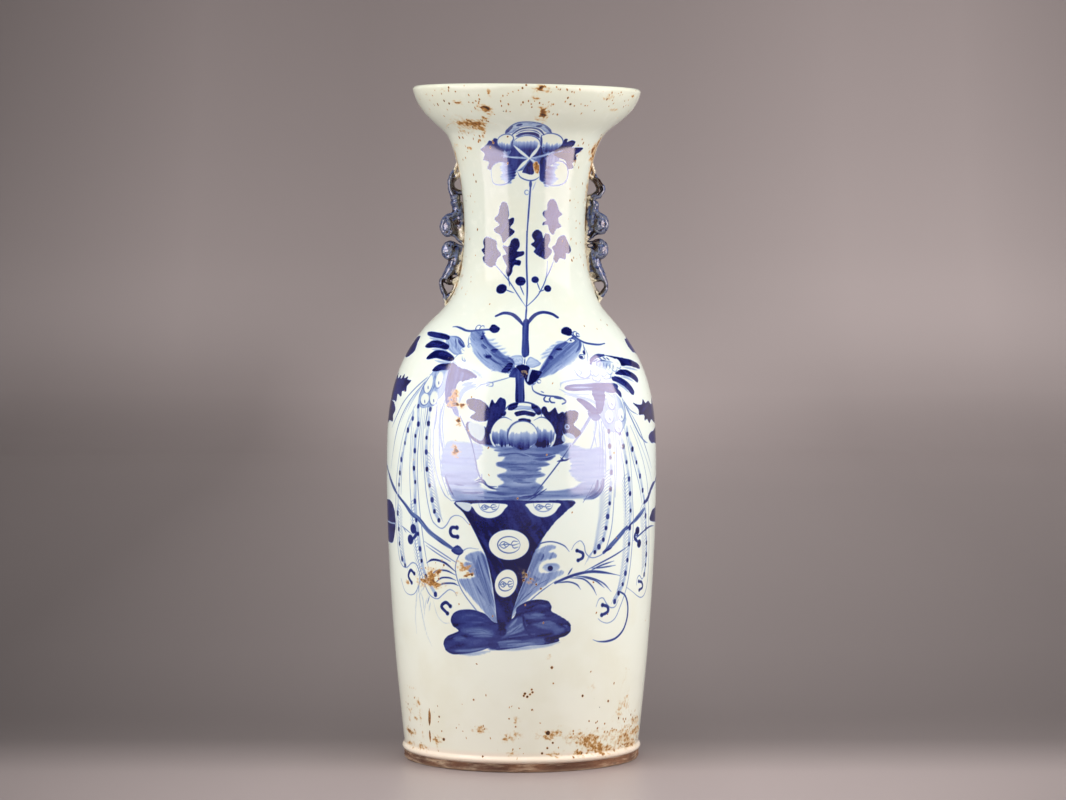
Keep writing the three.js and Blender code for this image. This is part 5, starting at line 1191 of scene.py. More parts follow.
def to_object(name, strips, layer_names, material, body="root"):
    """One mesh object from strips, with its map, its painted layers and its own smooth normals."""
    mesh = bpy.data.meshes.new(name)
    counts = np.cumsum([0] + [len(s["place"]) for s in strips])
    corner = np.concatenate([s["corner"] + n for s, n in zip(strips, counts)])
    sides = np.concatenate([s["sides"] for s in strips])
    mesh.vertices.add(counts[-1])
    mesh.loops.add(len(corner))
    mesh.polygons.add(len(sides))
    mesh.vertices.foreach_set("co", np.concatenate([s["place"] for s in strips]).ravel())
    mesh.loops.foreach_set("vertex_index", corner)
    mesh.polygons.foreach_set("loop_start", np.concatenate([[0], np.cumsum(sides)[:-1]]))
    uv = mesh.uv_layers.new(name="OFBake")
    uv.data.foreach_set("uv", np.concatenate([s["uv"] for s in strips]).ravel())
    for k, layer_name in enumerate(layer_names):
        layer = mesh.attributes.new(layer_name, "FLOAT", "POINT")
        layer.data.foreach_set("value", np.concatenate([s["layers"][k] for s in strips]).astype(np.float32))
    mesh.update(calc_edges=True)
    mesh.validate()
    mesh.normals_split_custom_set_from_vertices(np.concatenate([s["facing"] for s in strips]).tolist())
    mesh.materials.append(material)
    piece = bpy.data.objects.new(name, mesh)
    bpy.context.scene.collection.objects.link(piece)
    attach(piece, body)
    return piece


def whole_cells(path, normals):
    """A strip cut so that its samples fill whole blocks: its points are spread anew."""
    blocks = max(1, round((len(path) - 1) / BIGGEST_CELL))
    at = np.linspace(0, len(path) - 1, blocks * BIGGEST_CELL + 1)
    pick = lambda values: np.column_stack([np.interp(at, np.arange(len(values)), values[:, k]) for k in (0, 1)])
    return pick(path), pick(normals)


def painted(canvas, path, turned_out):
    """The canvas at a strip's samples, with none on the inside."""
    row = np.clip(path[:, 1] / HEIGHT_STEP, 0, len(canvas) - 1.001)
    low = row.astype(int)
    share = (row - low)[:, None]
    values = (canvas[low] * (1 - share) + canvas[low + 1] * share) * turned_out[:, None]
    return np.hstack([values, values[:, :1]])


def build_pot(canvas, material):
    path = pot_path()
    normals = path_normals(path)
    top = int(np.argmax(path[:, 1]))
    outside = np.arange(len(path)) <= top
    for name, low, high, nodes in SECTIONS:
        within = (path[:, 1] >= low - PATH_STEP / 2) & (path[:, 1] <= high + PATH_STEP / 2)
        parts = [within] if high > RIM_HEIGHT else [within & outside, within & ~outside]
        strips = []
        for part, span in zip(parts, [(0, 0.86), (0.87, 1)] if len(parts) > 1 else [(0, 1)]):
            strip, facing = whole_cells(path[part], normals[part])
            if low > FOOT_HEIGHT or not outside[part][0]:
                strip = snap_end(strip, low)
            if high < RIM_HEIGHT:
                strip = snap_end(strip, high)
            shows = (ramp(facing[:, 0], -0.2, 0.1) if high > RIM_HEIGHT else np.full(len(strip), float(outside[part][0])))
            layers = [painted(canvas.cobalt, strip, shows), painted(canvas.rust, strip, shows)]
            strips.append(strip_mesh(strip, facing, layers, span))
        piece = to_object(name, strips, ["cobalt", "rust"], material)
        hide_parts(*nodes)
        print(name, len(piece.data.vertices), sum(len(q.vertices) - 2 for q in piece.data.polygons))


def snap_end(strip, height):
    """A strip whose nearer end lies exactly on a seam's height."""
    strip = strip.copy()
    end = 0 if abs(strip[0, 1] - height) < abs(strip[-1, 1] - height) else -1
    if abs(strip[end, 1] - height) < 2 * PATH_STEP:
        strip[end, 1] = height
    return strip


# Colours in sRGB levels
# The glaze's colour by height: pinker at the foot, its own tone, and darker on the shoulder and neck, which is painted
# shade
GLAZE_STOPS = [
    (0, (234, 214, 195)), (13, (234, 216, 197)), (19, (230, 227, 211)), (100, (228, 228, 214)),
    (260, (219, 225, 217)), (400, (211, 214, 202)), (470, (204, 207, 194)), (555, (210, 212, 199)), (600, (215, 214, 195)),
]
INK_STOPS = [
    (0, (192, 201, 208)), (0.2, (166, 180, 202)), (0.36, (132, 150, 189)), (0.58, (82, 100, 152)),
    (0.8, (46, 58, 124)), (0.95, (26, 31, 98)), (1, (11, 13, 66)),
]
STAIN_PALE, RUST, DARK_RUST, SPECK = (220, 200, 154), (190, 142, 76), (126, 78, 38), (50, 36, 30)
SLIP, LUTING = (226, 214, 190), (190, 168, 132)
BISCUIT, BISCUIT_PALE, BISCUIT_DARK = (126, 86, 62), (214, 188, 158), (74, 46, 36)
# The last is the dark brown of painted shade inside the handles' loops and in their deepest hollows
BLUE_GLAZE, BLUE_DEEP, BLUE_THIN, HOLLOW_AND_SHADE_BROWN = (56, 68, 112), (26, 27, 46), (98, 102, 120), (44, 22, 12)
# The stage's colour along its sweep, with painted light and shade in it, as metres of y + 4 z, and its painted shade
# from left to right
STAGE_PAINTED_LIGHT = [
    (-0.5, 175), (-0.1, 177), (0.1, 132), (0.25, 129), (0.4, 134), (0.8, 146), (1.6, 157),
    (3.2, 172), (4.5, 194), (5.1, 204), (5.6, 200), (6.3, 189), (6.9, 184), (8.2, 178), (9.8, 173),
]
WALL_PAINTED_SHADE = [(-1.4, 0.52), (-1.1, 0.7), (-0.8, 0.9), (-0.4, 0.88), (0.36, 1.06), (0.75, 1.28), (1.05, 1.28), (1.4, 1)]
FLOOR_PAINTED_SHADE = [(-1.1, 0.38), (-0.6, 0.52), (-0.4, 0.76), (-0.2, 1), (0.2, 1.13), (0.4, 0.97), (0.7, 0.76), (1.1, 0.68)]
STAGE_HUE = (1, 0.915, 0.9)


def srgb(levels):
    return tuple(((v / 255 + 0.055) / 1.055) ** 2.4 for v in levels) + (1,)


class Finish:
    """A node material round one Principled shader."""

    def __init__(self, name, constants):
        self.material = bpy.data.materials.new(name)
        self.material.use_nodes = True
        self.tree = self.material.node_tree
        self.shader = self.tree.nodes["Principled BSDF"]
        for socket, value in constants.items():
            self.shader.inputs[socket].default_value = value
        self.place = self.tree.nodes.new("ShaderNodeTexCoord").outputs["Object"]

    def add(self, kind, values, output=0, **settings):
        """A node with these settings and inputs, each a number, a colour or another node's output."""
        node = self.tree.nodes.new("ShaderNode" + kind)
        for name, value in settings.items():
            setattr(node, name, value)
        for socket, value in values.items():
            if isinstance(value, bpy.types.NodeSocket):
                self.tree.links.new(value, node.inputs[socket])
            else:
                node.inputs[socket].default_value = value
        return node.outputs[output]

    def noise(self, size_mm, detail=3, stretch=(1, 1, 1), roughness=0.55):
        """Noise from 0 to 1 with features of this size."""
        place = self.add("Mapping", {"Vector": self.place, "Scale": stretch})
        return self.add("TexNoise", {"Vector": place, "Scale": 1 / (size_mm * MM), "Detail": detail,
                                     "Roughness": roughness})

    def attribute(self, name):
        return self.add("Attribute", {}, output="Fac", attribute_name=name)

    def height(self):
        return self.add("SeparateXYZ", {0: self.place}, output="Z")

    def between(self, value, low, high, to_low=0.0, to_high=1.0):
        """A value's range stretched smoothly to another one, and cut off there."""
        return self.add("MapRange", {"Value": value, "From Min": low, "From Max": high, "To Min": to_low,
                                     "To Max": to_high}, interpolation_type="SMOOTHSTEP")

    def maths(self, operation, a, b):
        return self.add("Math", {0: a, 1: b}, operation=operation)

    def mix(self, factor, a, b, blend_type="MIX"):
        a, b = (srgb(c) if isinstance(c, tuple) else c for c in (a, b))
        return self.add("Mix", {0: factor, 6: a, 7: b}, output=2, data_type="RGBA", blend_type=blend_type)

    def stops(self, value, stops):
        """Colours along a value."""
        node = self.tree.nodes.new("ShaderNodeValToRGB")
        self.tree.links.new(value, node.inputs[0])
        while len(node.color_ramp.elements) < len(stops):
            node.color_ramp.elements.new(0.5)
        for element, (place, colour) in zip(node.color_ramp.elements, stops):
            element.position, element.color = place, srgb(colour)
        return node.outputs[0]

    def specks(self, spacing_mm, radius_share, wanted):
        """Sparse round specks, as 1 inside them. wanted is the share of places that have one."""
        cell = {"Vector": self.place, "Scale": 1 / (spacing_mm * MM)}
        distance = self.add("TexVoronoi", cell, output="Distance")
        colour = self.add("TexVoronoi", cell, output="Color")
        chosen = self.add("SeparateXYZ", {0: colour}, output="X")
        here = self.between(chosen, wanted, wanted - 0.001)
        return self.maths("MULTIPLY", here, self.between(distance, radius_share, radius_share * 0.6))

    def bump(self, height, depth_mm, under=None):
        values = {"Height": height, "Distance": depth_mm * MM, "Strength": 1.0}
        if under is not None:
            values["Normal"] = under
        return self.add("Bump", values)

    def done(self, colour, roughness=None, normal=None):
        for socket, value in (("Base Color", colour), ("Roughness", roughness), ("Normal", normal)):
            if value is not None:
                self.tree.links.new(value, self.shader.inputs[socket])
        return self.material


GLOSS = {"IOR": 1.62, "Specular IOR Level": 0.72}
# Bare glaze reflects softly. Cobalt has a stronger coat over it, so that it shows in the glare as in the photo
BODY_GLOSS = {"IOR": 1.62, "Specular IOR Level": 0.14, "Coat IOR": 1.58, "Coat Roughness": 0.1}
CLAY = {"IOR": 1.45, "Specular IOR Level": 0.3}


def glaze_finish():
    """Cream glaze over cobalt painting, with brown kiln stains, pinholes, a faintly uneven surface and painted shade
    darkening its shoulder and neck.
    """
    f = Finish("glaze_over_cobalt", BODY_GLOSS)
    broad, fine, grain = f.noise(46), f.noise(9, 4), f.noise(1.6, 2)
    share = f.add("MapRange", {"Value": f.height(), "From Max": PAINTED_TOP * MM})
    # The glaze's colour by height, with painted shade darkening the shoulder and neck
    cream = f.stops(share, [(height / PAINTED_TOP, colour) for height, colour in GLAZE_STOPS])
    cream = f.mix(f.between(broad, 0.4, 0.75, 0, 0.3), cream, (214, 208, 182))
    cream = f.mix(f.between(fine, 0.5, 0.8, 0, 0.35), cream, (228, 226, 214))
    paint = f.attribute("cobalt")
    pooled = f.maths("MULTIPLY", paint, f.between(broad, 0.3, 0.7, 0.94, 1.06))
    pooled = f.maths("MULTIPLY", pooled, f.between(grain, 0.25, 0.75, 0.97, 1.03))
    ink = f.stops(pooled, INK_STOPS)
    colour = f.mix(f.between(paint, 0.0, 0.2), cream, ink)
    rust = f.attribute("rust")
    flecks = f.maths("ADD", rust, f.between(f.noise(3.4, 5), 0.3, 0.7, -0.22, 0.22))
    brown = f.stops(flecks, [(0.1, STAIN_PALE), (0.42, RUST), (0.78, DARK_RUST), (1, SPECK)])
    stain = f.maths("MULTIPLY", f.between(flecks, 0.02, 0.6), f.between(rust, 0.0, 0.2))
    colour = f.mix(stain, colour, brown)
    specks = f.maths("MAXIMUM", f.specks(17, 0.04, 0.3), f.specks(7, 0.05, 0.1))
    colour = f.mix(f.maths("MULTIPLY", specks, 0.8), colour, SPECK)
    rough = f.maths("ADD", f.between(fine, 0.3, 0.7, 0.08, 0.12), f.between(stain, 0.1, 0.8, 0, 0.3))
    waves = f.bump(f.noise(24, 1), 0.22)
    dimples = f.bump(fine, 0.035, waves)
    surface = f.bump(specks, -0.2, dimples)
    front = f.add("SeparateXYZ", {0: f.place}, output="Y")
    coat = f.maths("MULTIPLY", f.between(paint, 0, 0.45), f.between(front, -45 * MM, -25 * MM, 1, 0.15))
    f.tree.links.new(coat, f.shader.inputs["Coat Weight"])
    f.tree.links.new(surface, f.shader.inputs["Coat Normal"])
    return f.done(colour, rough, surface)


def slip_finish():
    """Glazed slip of the joins and the pot's floor: cream with brown breaks."""
    f = Finish("cream_slip", {"IOR": 1.55, "Specular IOR Level": 0.6})
    fine, grain = f.noise(6, 4), f.noise(1.3, 2)
    colour = f.mix(f.between(fine, 0.4, 0.7), SLIP, LUTING)
    colour = f.mix(f.between(grain, 0.62, 0.8, 0, 0.7), colour, (104, 62, 34))
    return f.done(colour, f.between(fine, 0.3, 0.7, 0.2, 0.38), f.bump(f.noise(3, 3), 0.12))


def biscuit_finish():
    """Bare fired clay of the foot: brown, gritty and rubbed pale along its edge."""
    f = Finish("bare_clay", CLAY)
    broad, fine, grit = f.noise(9, 5, (0.4, 0.4, 2.4)), f.noise(4, 4, (0.6, 0.6, 2)), f.noise(0.5, 2)
    colour = f.mix(f.between(f.noise(60), 0.35, 0.65, 0.15, 1), BISCUIT_DARK, BISCUIT)
    colour = f.mix(f.between(broad, 0.45, 0.75, 0, 0.6), colour, BISCUIT_PALE)
    colour = f.mix(f.between(fine, 0.5, 0.75, 0, 0.7), colour, BISCUIT_DARK)
    colour = f.mix(f.between(grit, 0.6, 0.8, 0, 0.4), colour, BISCUIT_PALE)
    colour = f.mix(f.attribute("worn"), colour, BISCUIT_PALE)
    rough = f.between(grit, 0.3, 0.7, 0.7, 0.9)
    return f.done(colour, rough, f.bump(grit, 0.08, f.bump(fine, 0.2)))


def handle_finish():
    """Blue-washed glaze of the handles: navy in the hollows, partly pooled glaze and partly painted shade, with painted
    shade, navy to dark brown, on faces turned to the neck and inside the loops; thin and pale on edges, bare where they
    join.
    """
    f = Finish("blue_washed_glaze", GLOSS)
    broad, fine, grain = f.noise(12, 3), f.noise(4, 3), f.noise(1.2, 2)
    hollow_and_shade, edge, join = (f.attribute(name) for name in ("hollow_and_shade", "edge", "join"))
    colour = f.mix(f.between(broad, 0.42, 0.6, 0, 0.8), BLUE_GLAZE, (92, 100, 132))
    colour = f.mix(f.between(f.noise(5.5, 4), 0.45, 0.62), colour, (102, 114, 152))
    colour = f.mix(f.between(fine, 0.48, 0.6, 0, 0.85), colour, (34, 36, 62))
    rims = f.maths("ADD", edge, f.between(grain, 0.3, 0.7, -0.3, 0.3))
    colour = f.mix(f.between(rims, 0.5, 0.8), colour, BLUE_THIN)
    deep = f.maths("ADD", hollow_and_shade, f.between(fine, 0.3, 0.7, -0.25, 0.25))
    # Navy, then dark brown, where the hollows and the painted shade are deep
    colour = f.mix(f.between(deep, 0.3, 0.7), colour, BLUE_DEEP)
    colour = f.mix(f.between(deep, 0.75, 1.1), colour, HOLLOW_AND_SHADE_BROWN)
    bare = f.maths("ADD", join, f.between(broad, 0.35, 0.65, -0.45, 0.45))
    colour = f.mix(f.between(bare, 0.45, 0.75), colour, SLIP)
    cracks = f.maths("MULTIPLY", f.between(bare, 0.3, 0.6), f.between(grain, 0.55, 0.75))
    colour = f.mix(cracks, colour, (96, 62, 38))
    return f.done(colour, f.between(fine, 0.3, 0.7, 0.07, 0.16), f.bump(f.noise(2.6, 3), 0.5))


def stage_finish():
    """A matt floor and backdrop with painted light and shade in their colour: paler in front of the pot and low on the
    backdrop, darker just behind the pot and to the left.
    """
    f = Finish("paper_with_painted_light", {"IOR": 1.5, "Specular IOR Level": 0.35})
    parts = f.tree.nodes.new("ShaderNodeSeparateXYZ")
    f.tree.links.new(f.place, parts.inputs[0])
    sweep = f.maths("ADD", parts.outputs["Y"], f.maths("MULTIPLY", parts.outputs["Z"], 4))
    low, high = STAGE_PAINTED_LIGHT[0][0], STAGE_PAINTED_LIGHT[-1][0]
    tones = [((s - low) / (high - low), [level * hue for hue in STAGE_HUE]) for s, level in STAGE_PAINTED_LIGHT]
    # Painted light and shade: the tone along the sweep times a painted shade across, floor and wall blended by height
    tone = f.stops(f.add("MapRange", {"Value": sweep, "From Min": low, "From Max": high}), tones)
    floor, wall = (painted_shade_across(f, parts.outputs["X"], shades) for shades in (FLOOR_PAINTED_SHADE, WALL_PAINTED_SHADE))
    shade = f.mix(f.between(parts.outputs["Z"], 0.0, 0.35), floor, wall)
    colour = f.mix(1.0, tone, shade, "MULTIPLY")
    return f.done(colour, f.between(parts.outputs["Z"], 0.0, 0.5, 0.38, 0.9))


def painted_shade_across(f, x, shades):
    """The stage's painted shade from left to right, as a colour of at most white for the biggest share."""
    left, right = shades[0][0], shades[-1][0]
    across = f.add("MapRange", {"Value": x, "From Min": left, "From Max": right})
    return f.stops(across, [((at - left) / (right - left), [255 * (share / 1.4) ** (1 / 2.2)] * 3) for at, share in shades])


FOOT_INNER_RADIUS, FOOT_OUTER_RADIUS, FOOT_CHAMFER, FOOT_SEGMENTS = 87.8, 105.4, 1.6, 320


def lathe(name, profile, segments, material, wobble=0.0):
    """A closed profile turned round the axis, as radius and height in mm."""
    count = len(profile)
    row = np.repeat(np.arange(count), segments)
    turn = np.tile(np.arange(segments), count) / segments * 2 * math.pi
    radius, z = np.array(profile)[row].T
    chips = wobble * (smooth_noise(turn * 26, z * 0.9 + 3) - 0.5)
    place = np.stack([(radius + chips) * np.sin(turn), -(radius + chips) * np.cos(turn), z], -1)
    quads = [
        (r * segments + c, r * segments + (c + 1) % segments,
         (r + 1) % count * segments + (c + 1) % segments, (r + 1) % count * segments + c)
        for r in range(count) for c in range(segments)
    ]
    mesh = bpy.data.meshes.new(name)
    mesh.from_pydata((place * MM).tolist(), [], quads)
    mesh.shade_smooth()
    mesh.materials.append(material)
    piece = bpy.data.objects.new(name, mesh)
    bpy.context.scene.collection.objects.link(piece)
    return piece


def build_foot(material):
    edge = FOOT_CHAMFER
    outer = [(FOOT_OUTER_RADIUS - edge + edge * math.sin(a), edge - edge * math.cos(a))
             for a in np.linspace(0, math.pi / 2, 7)]
    inner = [(FOOT_INNER_RADIUS + edge - edge * math.sin(a), edge - edge * math.cos(a))
             for a in np.linspace(math.pi / 2, 0, 7)]
    sole = [(r, 0) for r in np.linspace(FOOT_INNER_RADIUS + 3, FOOT_OUTER_RADIUS - 3, 5)]
    side = [(FOOT_OUTER_RADIUS, z) for z in np.linspace(3, FOOT_HEIGHT, 5)]
    back = [(FOOT_INNER_RADIUS, z) for z in np.linspace(FOOT_HEIGHT, 3, 4)]
    profile = inner + sole + outer + side + back
    foot = lathe("foot_ring_clay", profile, FOOT_SEGMENTS, material, wobble=0.9)
    worn = foot.data.attributes.new("worn", "FLOAT", "POINT")
    heights = np.repeat([z for _, z in profile], FOOT_SEGMENTS)
    worn.data.foreach_set("value", (0.3 * (1 - ramp(heights, 0.2, 2.5))).astype(np.float32))
    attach(foot, "root")
    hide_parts("foot_ring")


# The handles' pulls of clay: points as x, height, half thickness and half width in mm
HANDLE_PULLS = {
    "left_handle_upper_scroll": [
        [(-55.7, 542.9, 0.7, 3), (-57, 533.6, 1.3, 5), (-59.4, 527.1, 1.7, 7), (-62.8, 521, 1.9, 10),
         (-64.1, 514.5, 2, 11), (-63.2, 508.5, 2.1, 12), (-60.5, 503.3, 2.4, 12)],
        [(-50.7, 523.8, 2.1, 7), (-56.3, 522.4, 2.4, 9), (-60.6, 518.7, 2.2, 9.5),
         (-61.8, 513.1, 2.1, 9.5), (-59.2, 508.1, 2.1, 9.5), (-50.7, 506, 2.1, 8)],
        [(-58.7, 504.5, 3.4, 10), (-58.9, 502.3, 4.5, 13), (-58.9, 500.6, 4.1, 12)],
        [(-58.8, 499.7, 4.1, 12), (-58.7, 497.7, 4.9, 13.6), (-58.4, 495.1, 3.7, 10.5)],
        [(-58.4, 495.4, 3.7, 10), (-57.6, 490.8, 3.9, 9.5), (-58.7, 486.1, 4.1, 10)],
        [(-57.7, 489.4, 2.4, 11), (-61.9, 486.1, 2.8, 12.5), (-67.1, 483.8, 2.8, 13.5),
         (-70.1, 479.1, 2.5, 14), (-70, 473.5, 2.6, 14), (-66.1, 469.4, 2.5, 13.5),
         (-62.2, 471.7, 2.2, 12.5), (-61.5, 476.8, 2.1, 11.5), (-64.7, 479.8, 2, 10.5)],
        [(-65.8, 482.4, 4.3, 13.4), (-65.8, 476.8, 6.7, 15.2), (-65.6, 471.8, 4.7, 14)],
        [(-59.6, 487, 3.7, 9), (-60, 481.5, 4.1, 9.5), (-60.2, 475.9, 4.1, 9), (-58.1, 470.3, 3.2, 8)],
        [(-63.3, 469.5, 1.7, 10), (-59.4, 468.4, 1.4, 10), (-56.3, 464.7, 1.2, 9), (-50.3, 459.6, 1.3, 8)],
        [(-53.5, 496.4, 2.4, 7), (-54.6, 487, 3.7, 8.5), (-54.9, 479.6, 4.3, 9), (-54, 472.1, 3.7, 8.5),
         (-51.2, 463.8, 2.6, 7)],
    ],
    "left_handle_lower_scroll": [
        [(-49.8, 456.8, 1.4, 7), (-56.8, 459.1, 1.3, 9), (-60.5, 460.5, 1.7, 10)],
        [(-58.7, 459.6, 1.7, 11), (-64.3, 461.2, 2.4, 12.5), (-68.2, 457.7, 2.7, 13.5),
         (-68.8, 452.6, 2.7, 14), (-64.9, 449, 2.6, 13.5), (-60.7, 451.2, 2.3, 12.5),
         (-60.5, 455.4, 2.1, 11.5), (-63.5, 456.9, 1.9, 10.5)],
        [(-64.6, 459.1, 4.3, 13.4), (-64.7, 454.9, 6.5, 15.2), (-64.3, 450.7, 4.7, 14)],
        [(-57.6, 455.4, 4.1, 10.5), (-59.2, 447.9, 4.9, 11.5), (-61.9, 440.5, 4.7, 12),
         (-65.6, 433.9, 4.3, 12.5), (-68.9, 429.3, 3.2, 12.5)],
        [(-52.1, 457.2, 2.8, 7), (-54.6, 449.8, 3.9, 8.5), (-56.6, 442.3, 4.1, 8.5),
         (-57.9, 434.9, 3.7, 8)],
        [(-69.4, 431.1, 2.4, 12), (-71.8, 427.4, 1.8, 12.5), (-71.2, 421.8, 1.9, 12),
         (-68.8, 416.2, 2.2, 11), (-67.8, 410.6, 1.9, 9), (-66.9, 402.2, 1.1, 5)],
        [(-68.9, 428.8, 2.4, 11), (-64.3, 426.9, 3, 10), (-58.7, 428, 3, 9.5), (-54, 430.2, 2.8, 8)],
        [(-57.3, 429.3, 1.9, 8), (-59.1, 422.7, 1.5, 8), (-62.2, 416.7, 1.8, 9), (-66.7, 412.5, 2.4, 10)],
    ],
    "right_handle_upper_scroll": [
        [(62.5, 538.2, 0.8, 3), (63.6, 529.9, 1.3, 5), (66, 521.9, 1.5, 8), (70.2, 515.4, 1.6, 11),
         (73.5, 510.3, 1.7, 12), (71.1, 505.2, 1.8, 12), (66.9, 501.9, 1.9, 11)],
        [(58.5, 523.3, 1.9, 7), (63.6, 519.6, 2.1, 9), (69, 512.6, 2.2, 9.5), (69, 508.1, 2.1, 9.5),
         (64.1, 503.8, 1.9, 9.5), (57.6, 501.5, 1.9, 8)],
        [(64.6, 495.4, 1.5, 10), (64.4, 500.5, 1.6, 11), (67.4, 503.2, 1.7, 12), (71.1, 502.4, 1.4, 12)],
        [(66.7, 497.3, 3, 10), (65.1, 491.7, 4.1, 10), (65.1, 485.2, 5, 10.5), (64.2, 478.7, 5, 10),
         (63.3, 473.1, 3.7, 9)],
        [(63.6, 489.8, 2.2, 10), (68.8, 487, 2.7, 12), (73.9, 483.3, 2.8, 13.5), (76, 477.7, 2.6, 14),
         (73.2, 472.5, 2.6, 14), (67.9, 472, 2.4, 13), (65.5, 476.2, 2.2, 12), (68.3, 480.1, 2.1, 11)],
        [(70.2, 483.9, 4.5, 13.4), (70.4, 478.2, 6.7, 15.2), (70.2, 473.1, 4.9, 14)],
        [(69.2, 470.8, 1.7, 10), (65, 469.4, 1.5, 10), (61.8, 465.8, 1.3, 9), (55.7, 462.4, 1.3, 8)],
        [(60.4, 498.2, 2.8, 7), (61.4, 488.9, 4.1, 8.5), (61.2, 480.5, 4.7, 9), (59.9, 472.1, 4.1, 8.5),
         (57.1, 465.6, 2.8, 7)],
    ],
    "right_handle_lower_scroll": [
        [(55.7, 461, 1.4, 8), (62.7, 461.9, 1.4, 9), (67.4, 463.3, 1.7, 10)],
        [(64.6, 461.4, 1.9, 11), (70.2, 462.6, 2.5, 12.5), (74.6, 459.1, 2.7, 13.5), (75, 453.5, 2.7, 14),
         (71.1, 449.8, 2.6, 13.5), (66.6, 451.8, 2.3, 12.5), (66.8, 456.3, 2.1, 11.5),
         (70.2, 457.2, 1.9, 10.5)],
        [(70.4, 460.2, 4.3, 13.4), (70.7, 455.8, 6.7, 15.2), (70.5, 451.3, 4.7, 14)],
        [(63.3, 455.4, 4.7, 10.5), (65.1, 447.9, 5.4, 11.5), (67.4, 440.5, 4.9, 12),
         (70.7, 433.5, 4.3, 12.5), (73.9, 428.3, 3, 12.5)],
        [(57.6, 457.2, 3.2, 7), (59.4, 448.8, 4.7, 8.5), (61.3, 440.5, 4.7, 8.5), (63.2, 433.9, 3.9, 8)],
        [(72.5, 431.1, 2.4, 12), (75.4, 426.5, 1.9, 12.5), (75.8, 421.3, 2, 12), (73, 416.7, 2.2, 11),
         (70.6, 412.5, 1.9, 9), (68.3, 405, 1.1, 5)],
        [(72, 429.3, 2.2, 11), (67.4, 428.7, 1.9, 10), (63.2, 429.3, 2.1, 9), (59.4, 430.7, 2.1, 8)],
        [(62.2, 429.3, 1.8, 8), (64, 423.7, 1.7, 8), (66.6, 418.1, 1.9, 9), (70.2, 413.9, 2.6, 10)],
    ],
}

# How finely the handles' surface is rebuilt, and how wide the bare clay is where they join the pot, in mm
HANDLE_VOXEL, HANDLE_SMOOTHS, JOIN_WIDTH, HOLLOW_SPREAD = 0.6, 6, 3.4, 14
# Heights over which the upper tips and the lower tails turn to bare cream, in mm
BARE_TOP, BARE_TAIL = (526, 537), (405, 417)
# Where the loops' insides get painted shade in dark brown, as x, height and radius in mm
LOOP_INSIDE_SHADE = [
    (-56, 514.5, 7.2), (-61.6, 423.5, 7.6), (-57.6, 473, 3.8), (-57.6, 480, 2.8), (65.2, 513, 7.4), (67.4, 422, 7.8),
    (66.5, 463.5, 3.4),
]


def pull_mesh(points, sides=20):
    """A strap of clay along a smooth line: its corners and its faces."""
    line = smooth_line(points)
    along = np.gradient(line[:, :2], axis=0)
    along /= np.linalg.norm(along, axis=1)[:, None]
    line[[0, -1], :2] += 0.6 * line[[0, -1], 2:3] * along[[0, -1]] * [[-1], [1]]
    line[[0, -1], 2:] *= 0.6
    turns = np.linspace(0, 2 * math.pi, sides, endpoint=False)
    out = (np.sign(np.cos(turns)) * np.abs(np.cos(turns)) ** 0.85)[None, :] * line[:, 2:3]
    across = (np.sign(np.sin(turns)) * np.abs(np.sin(turns)) ** 0.85)[None, :] * line[:, 3:4]
    x = line[:, 0:1] - along[:, 1:2] * out
    z = line[:, 1:2] + along[:, 0:1] * out
    corners = np.stack([x, across, z], -1).reshape(-1, 3)
    faces = [
        (i * sides + j, i * sides + (j + 1) % sides, (i + 1) * sides + (j + 1) % sides, (i + 1) * sides + j)
        for i in range(len(line) - 1) for j in range(sides)
    ]
    last = len(corners) - sides
    return corners, faces + [tuple(range(sides))[::-1], tuple(range(last, last + sides))]


def pulls_to_mesh(name, pulls):
    corners, faces = [], []
    for points in pulls:
        more, sides = pull_mesh(points)
        first = sum(len(c) for c in corners)
        faces += [tuple(first + k for k in side) for side in sides]
        corners.append(more)
    mesh = bpy.data.meshes.new(name)
    mesh.from_pydata((np.vstack(corners) * MM).tolist(), [], faces)
    return mesh


def neighbour_mean(values, edges, rounds):
    """Each vertex's value averaged with its neighbours', this many times."""
    count = np.bincount(edges.ravel(), minlength=len(values))
    for _ in range(rounds):
        total = values.copy()
        for k in range(values.shape[1]):
            total[:, k] += np.bincount(edges[:, 0], values[edges[:, 1], k], len(values))
            total[:, k] += np.bincount(edges[:, 1], values[edges[:, 0], k], len(values))
        values = total / (count + 1)[:, None]
    return values


def mesh_array(items, name, width, kind=float):
    values = np.empty(len(items) * width, kind)
    items.foreach_get(name, values)
    return values.reshape(-1, width)


def neck_radius_here(z):
    return np.interp(z, OUTLINE[:, 1], OUTLINE[:, 0])


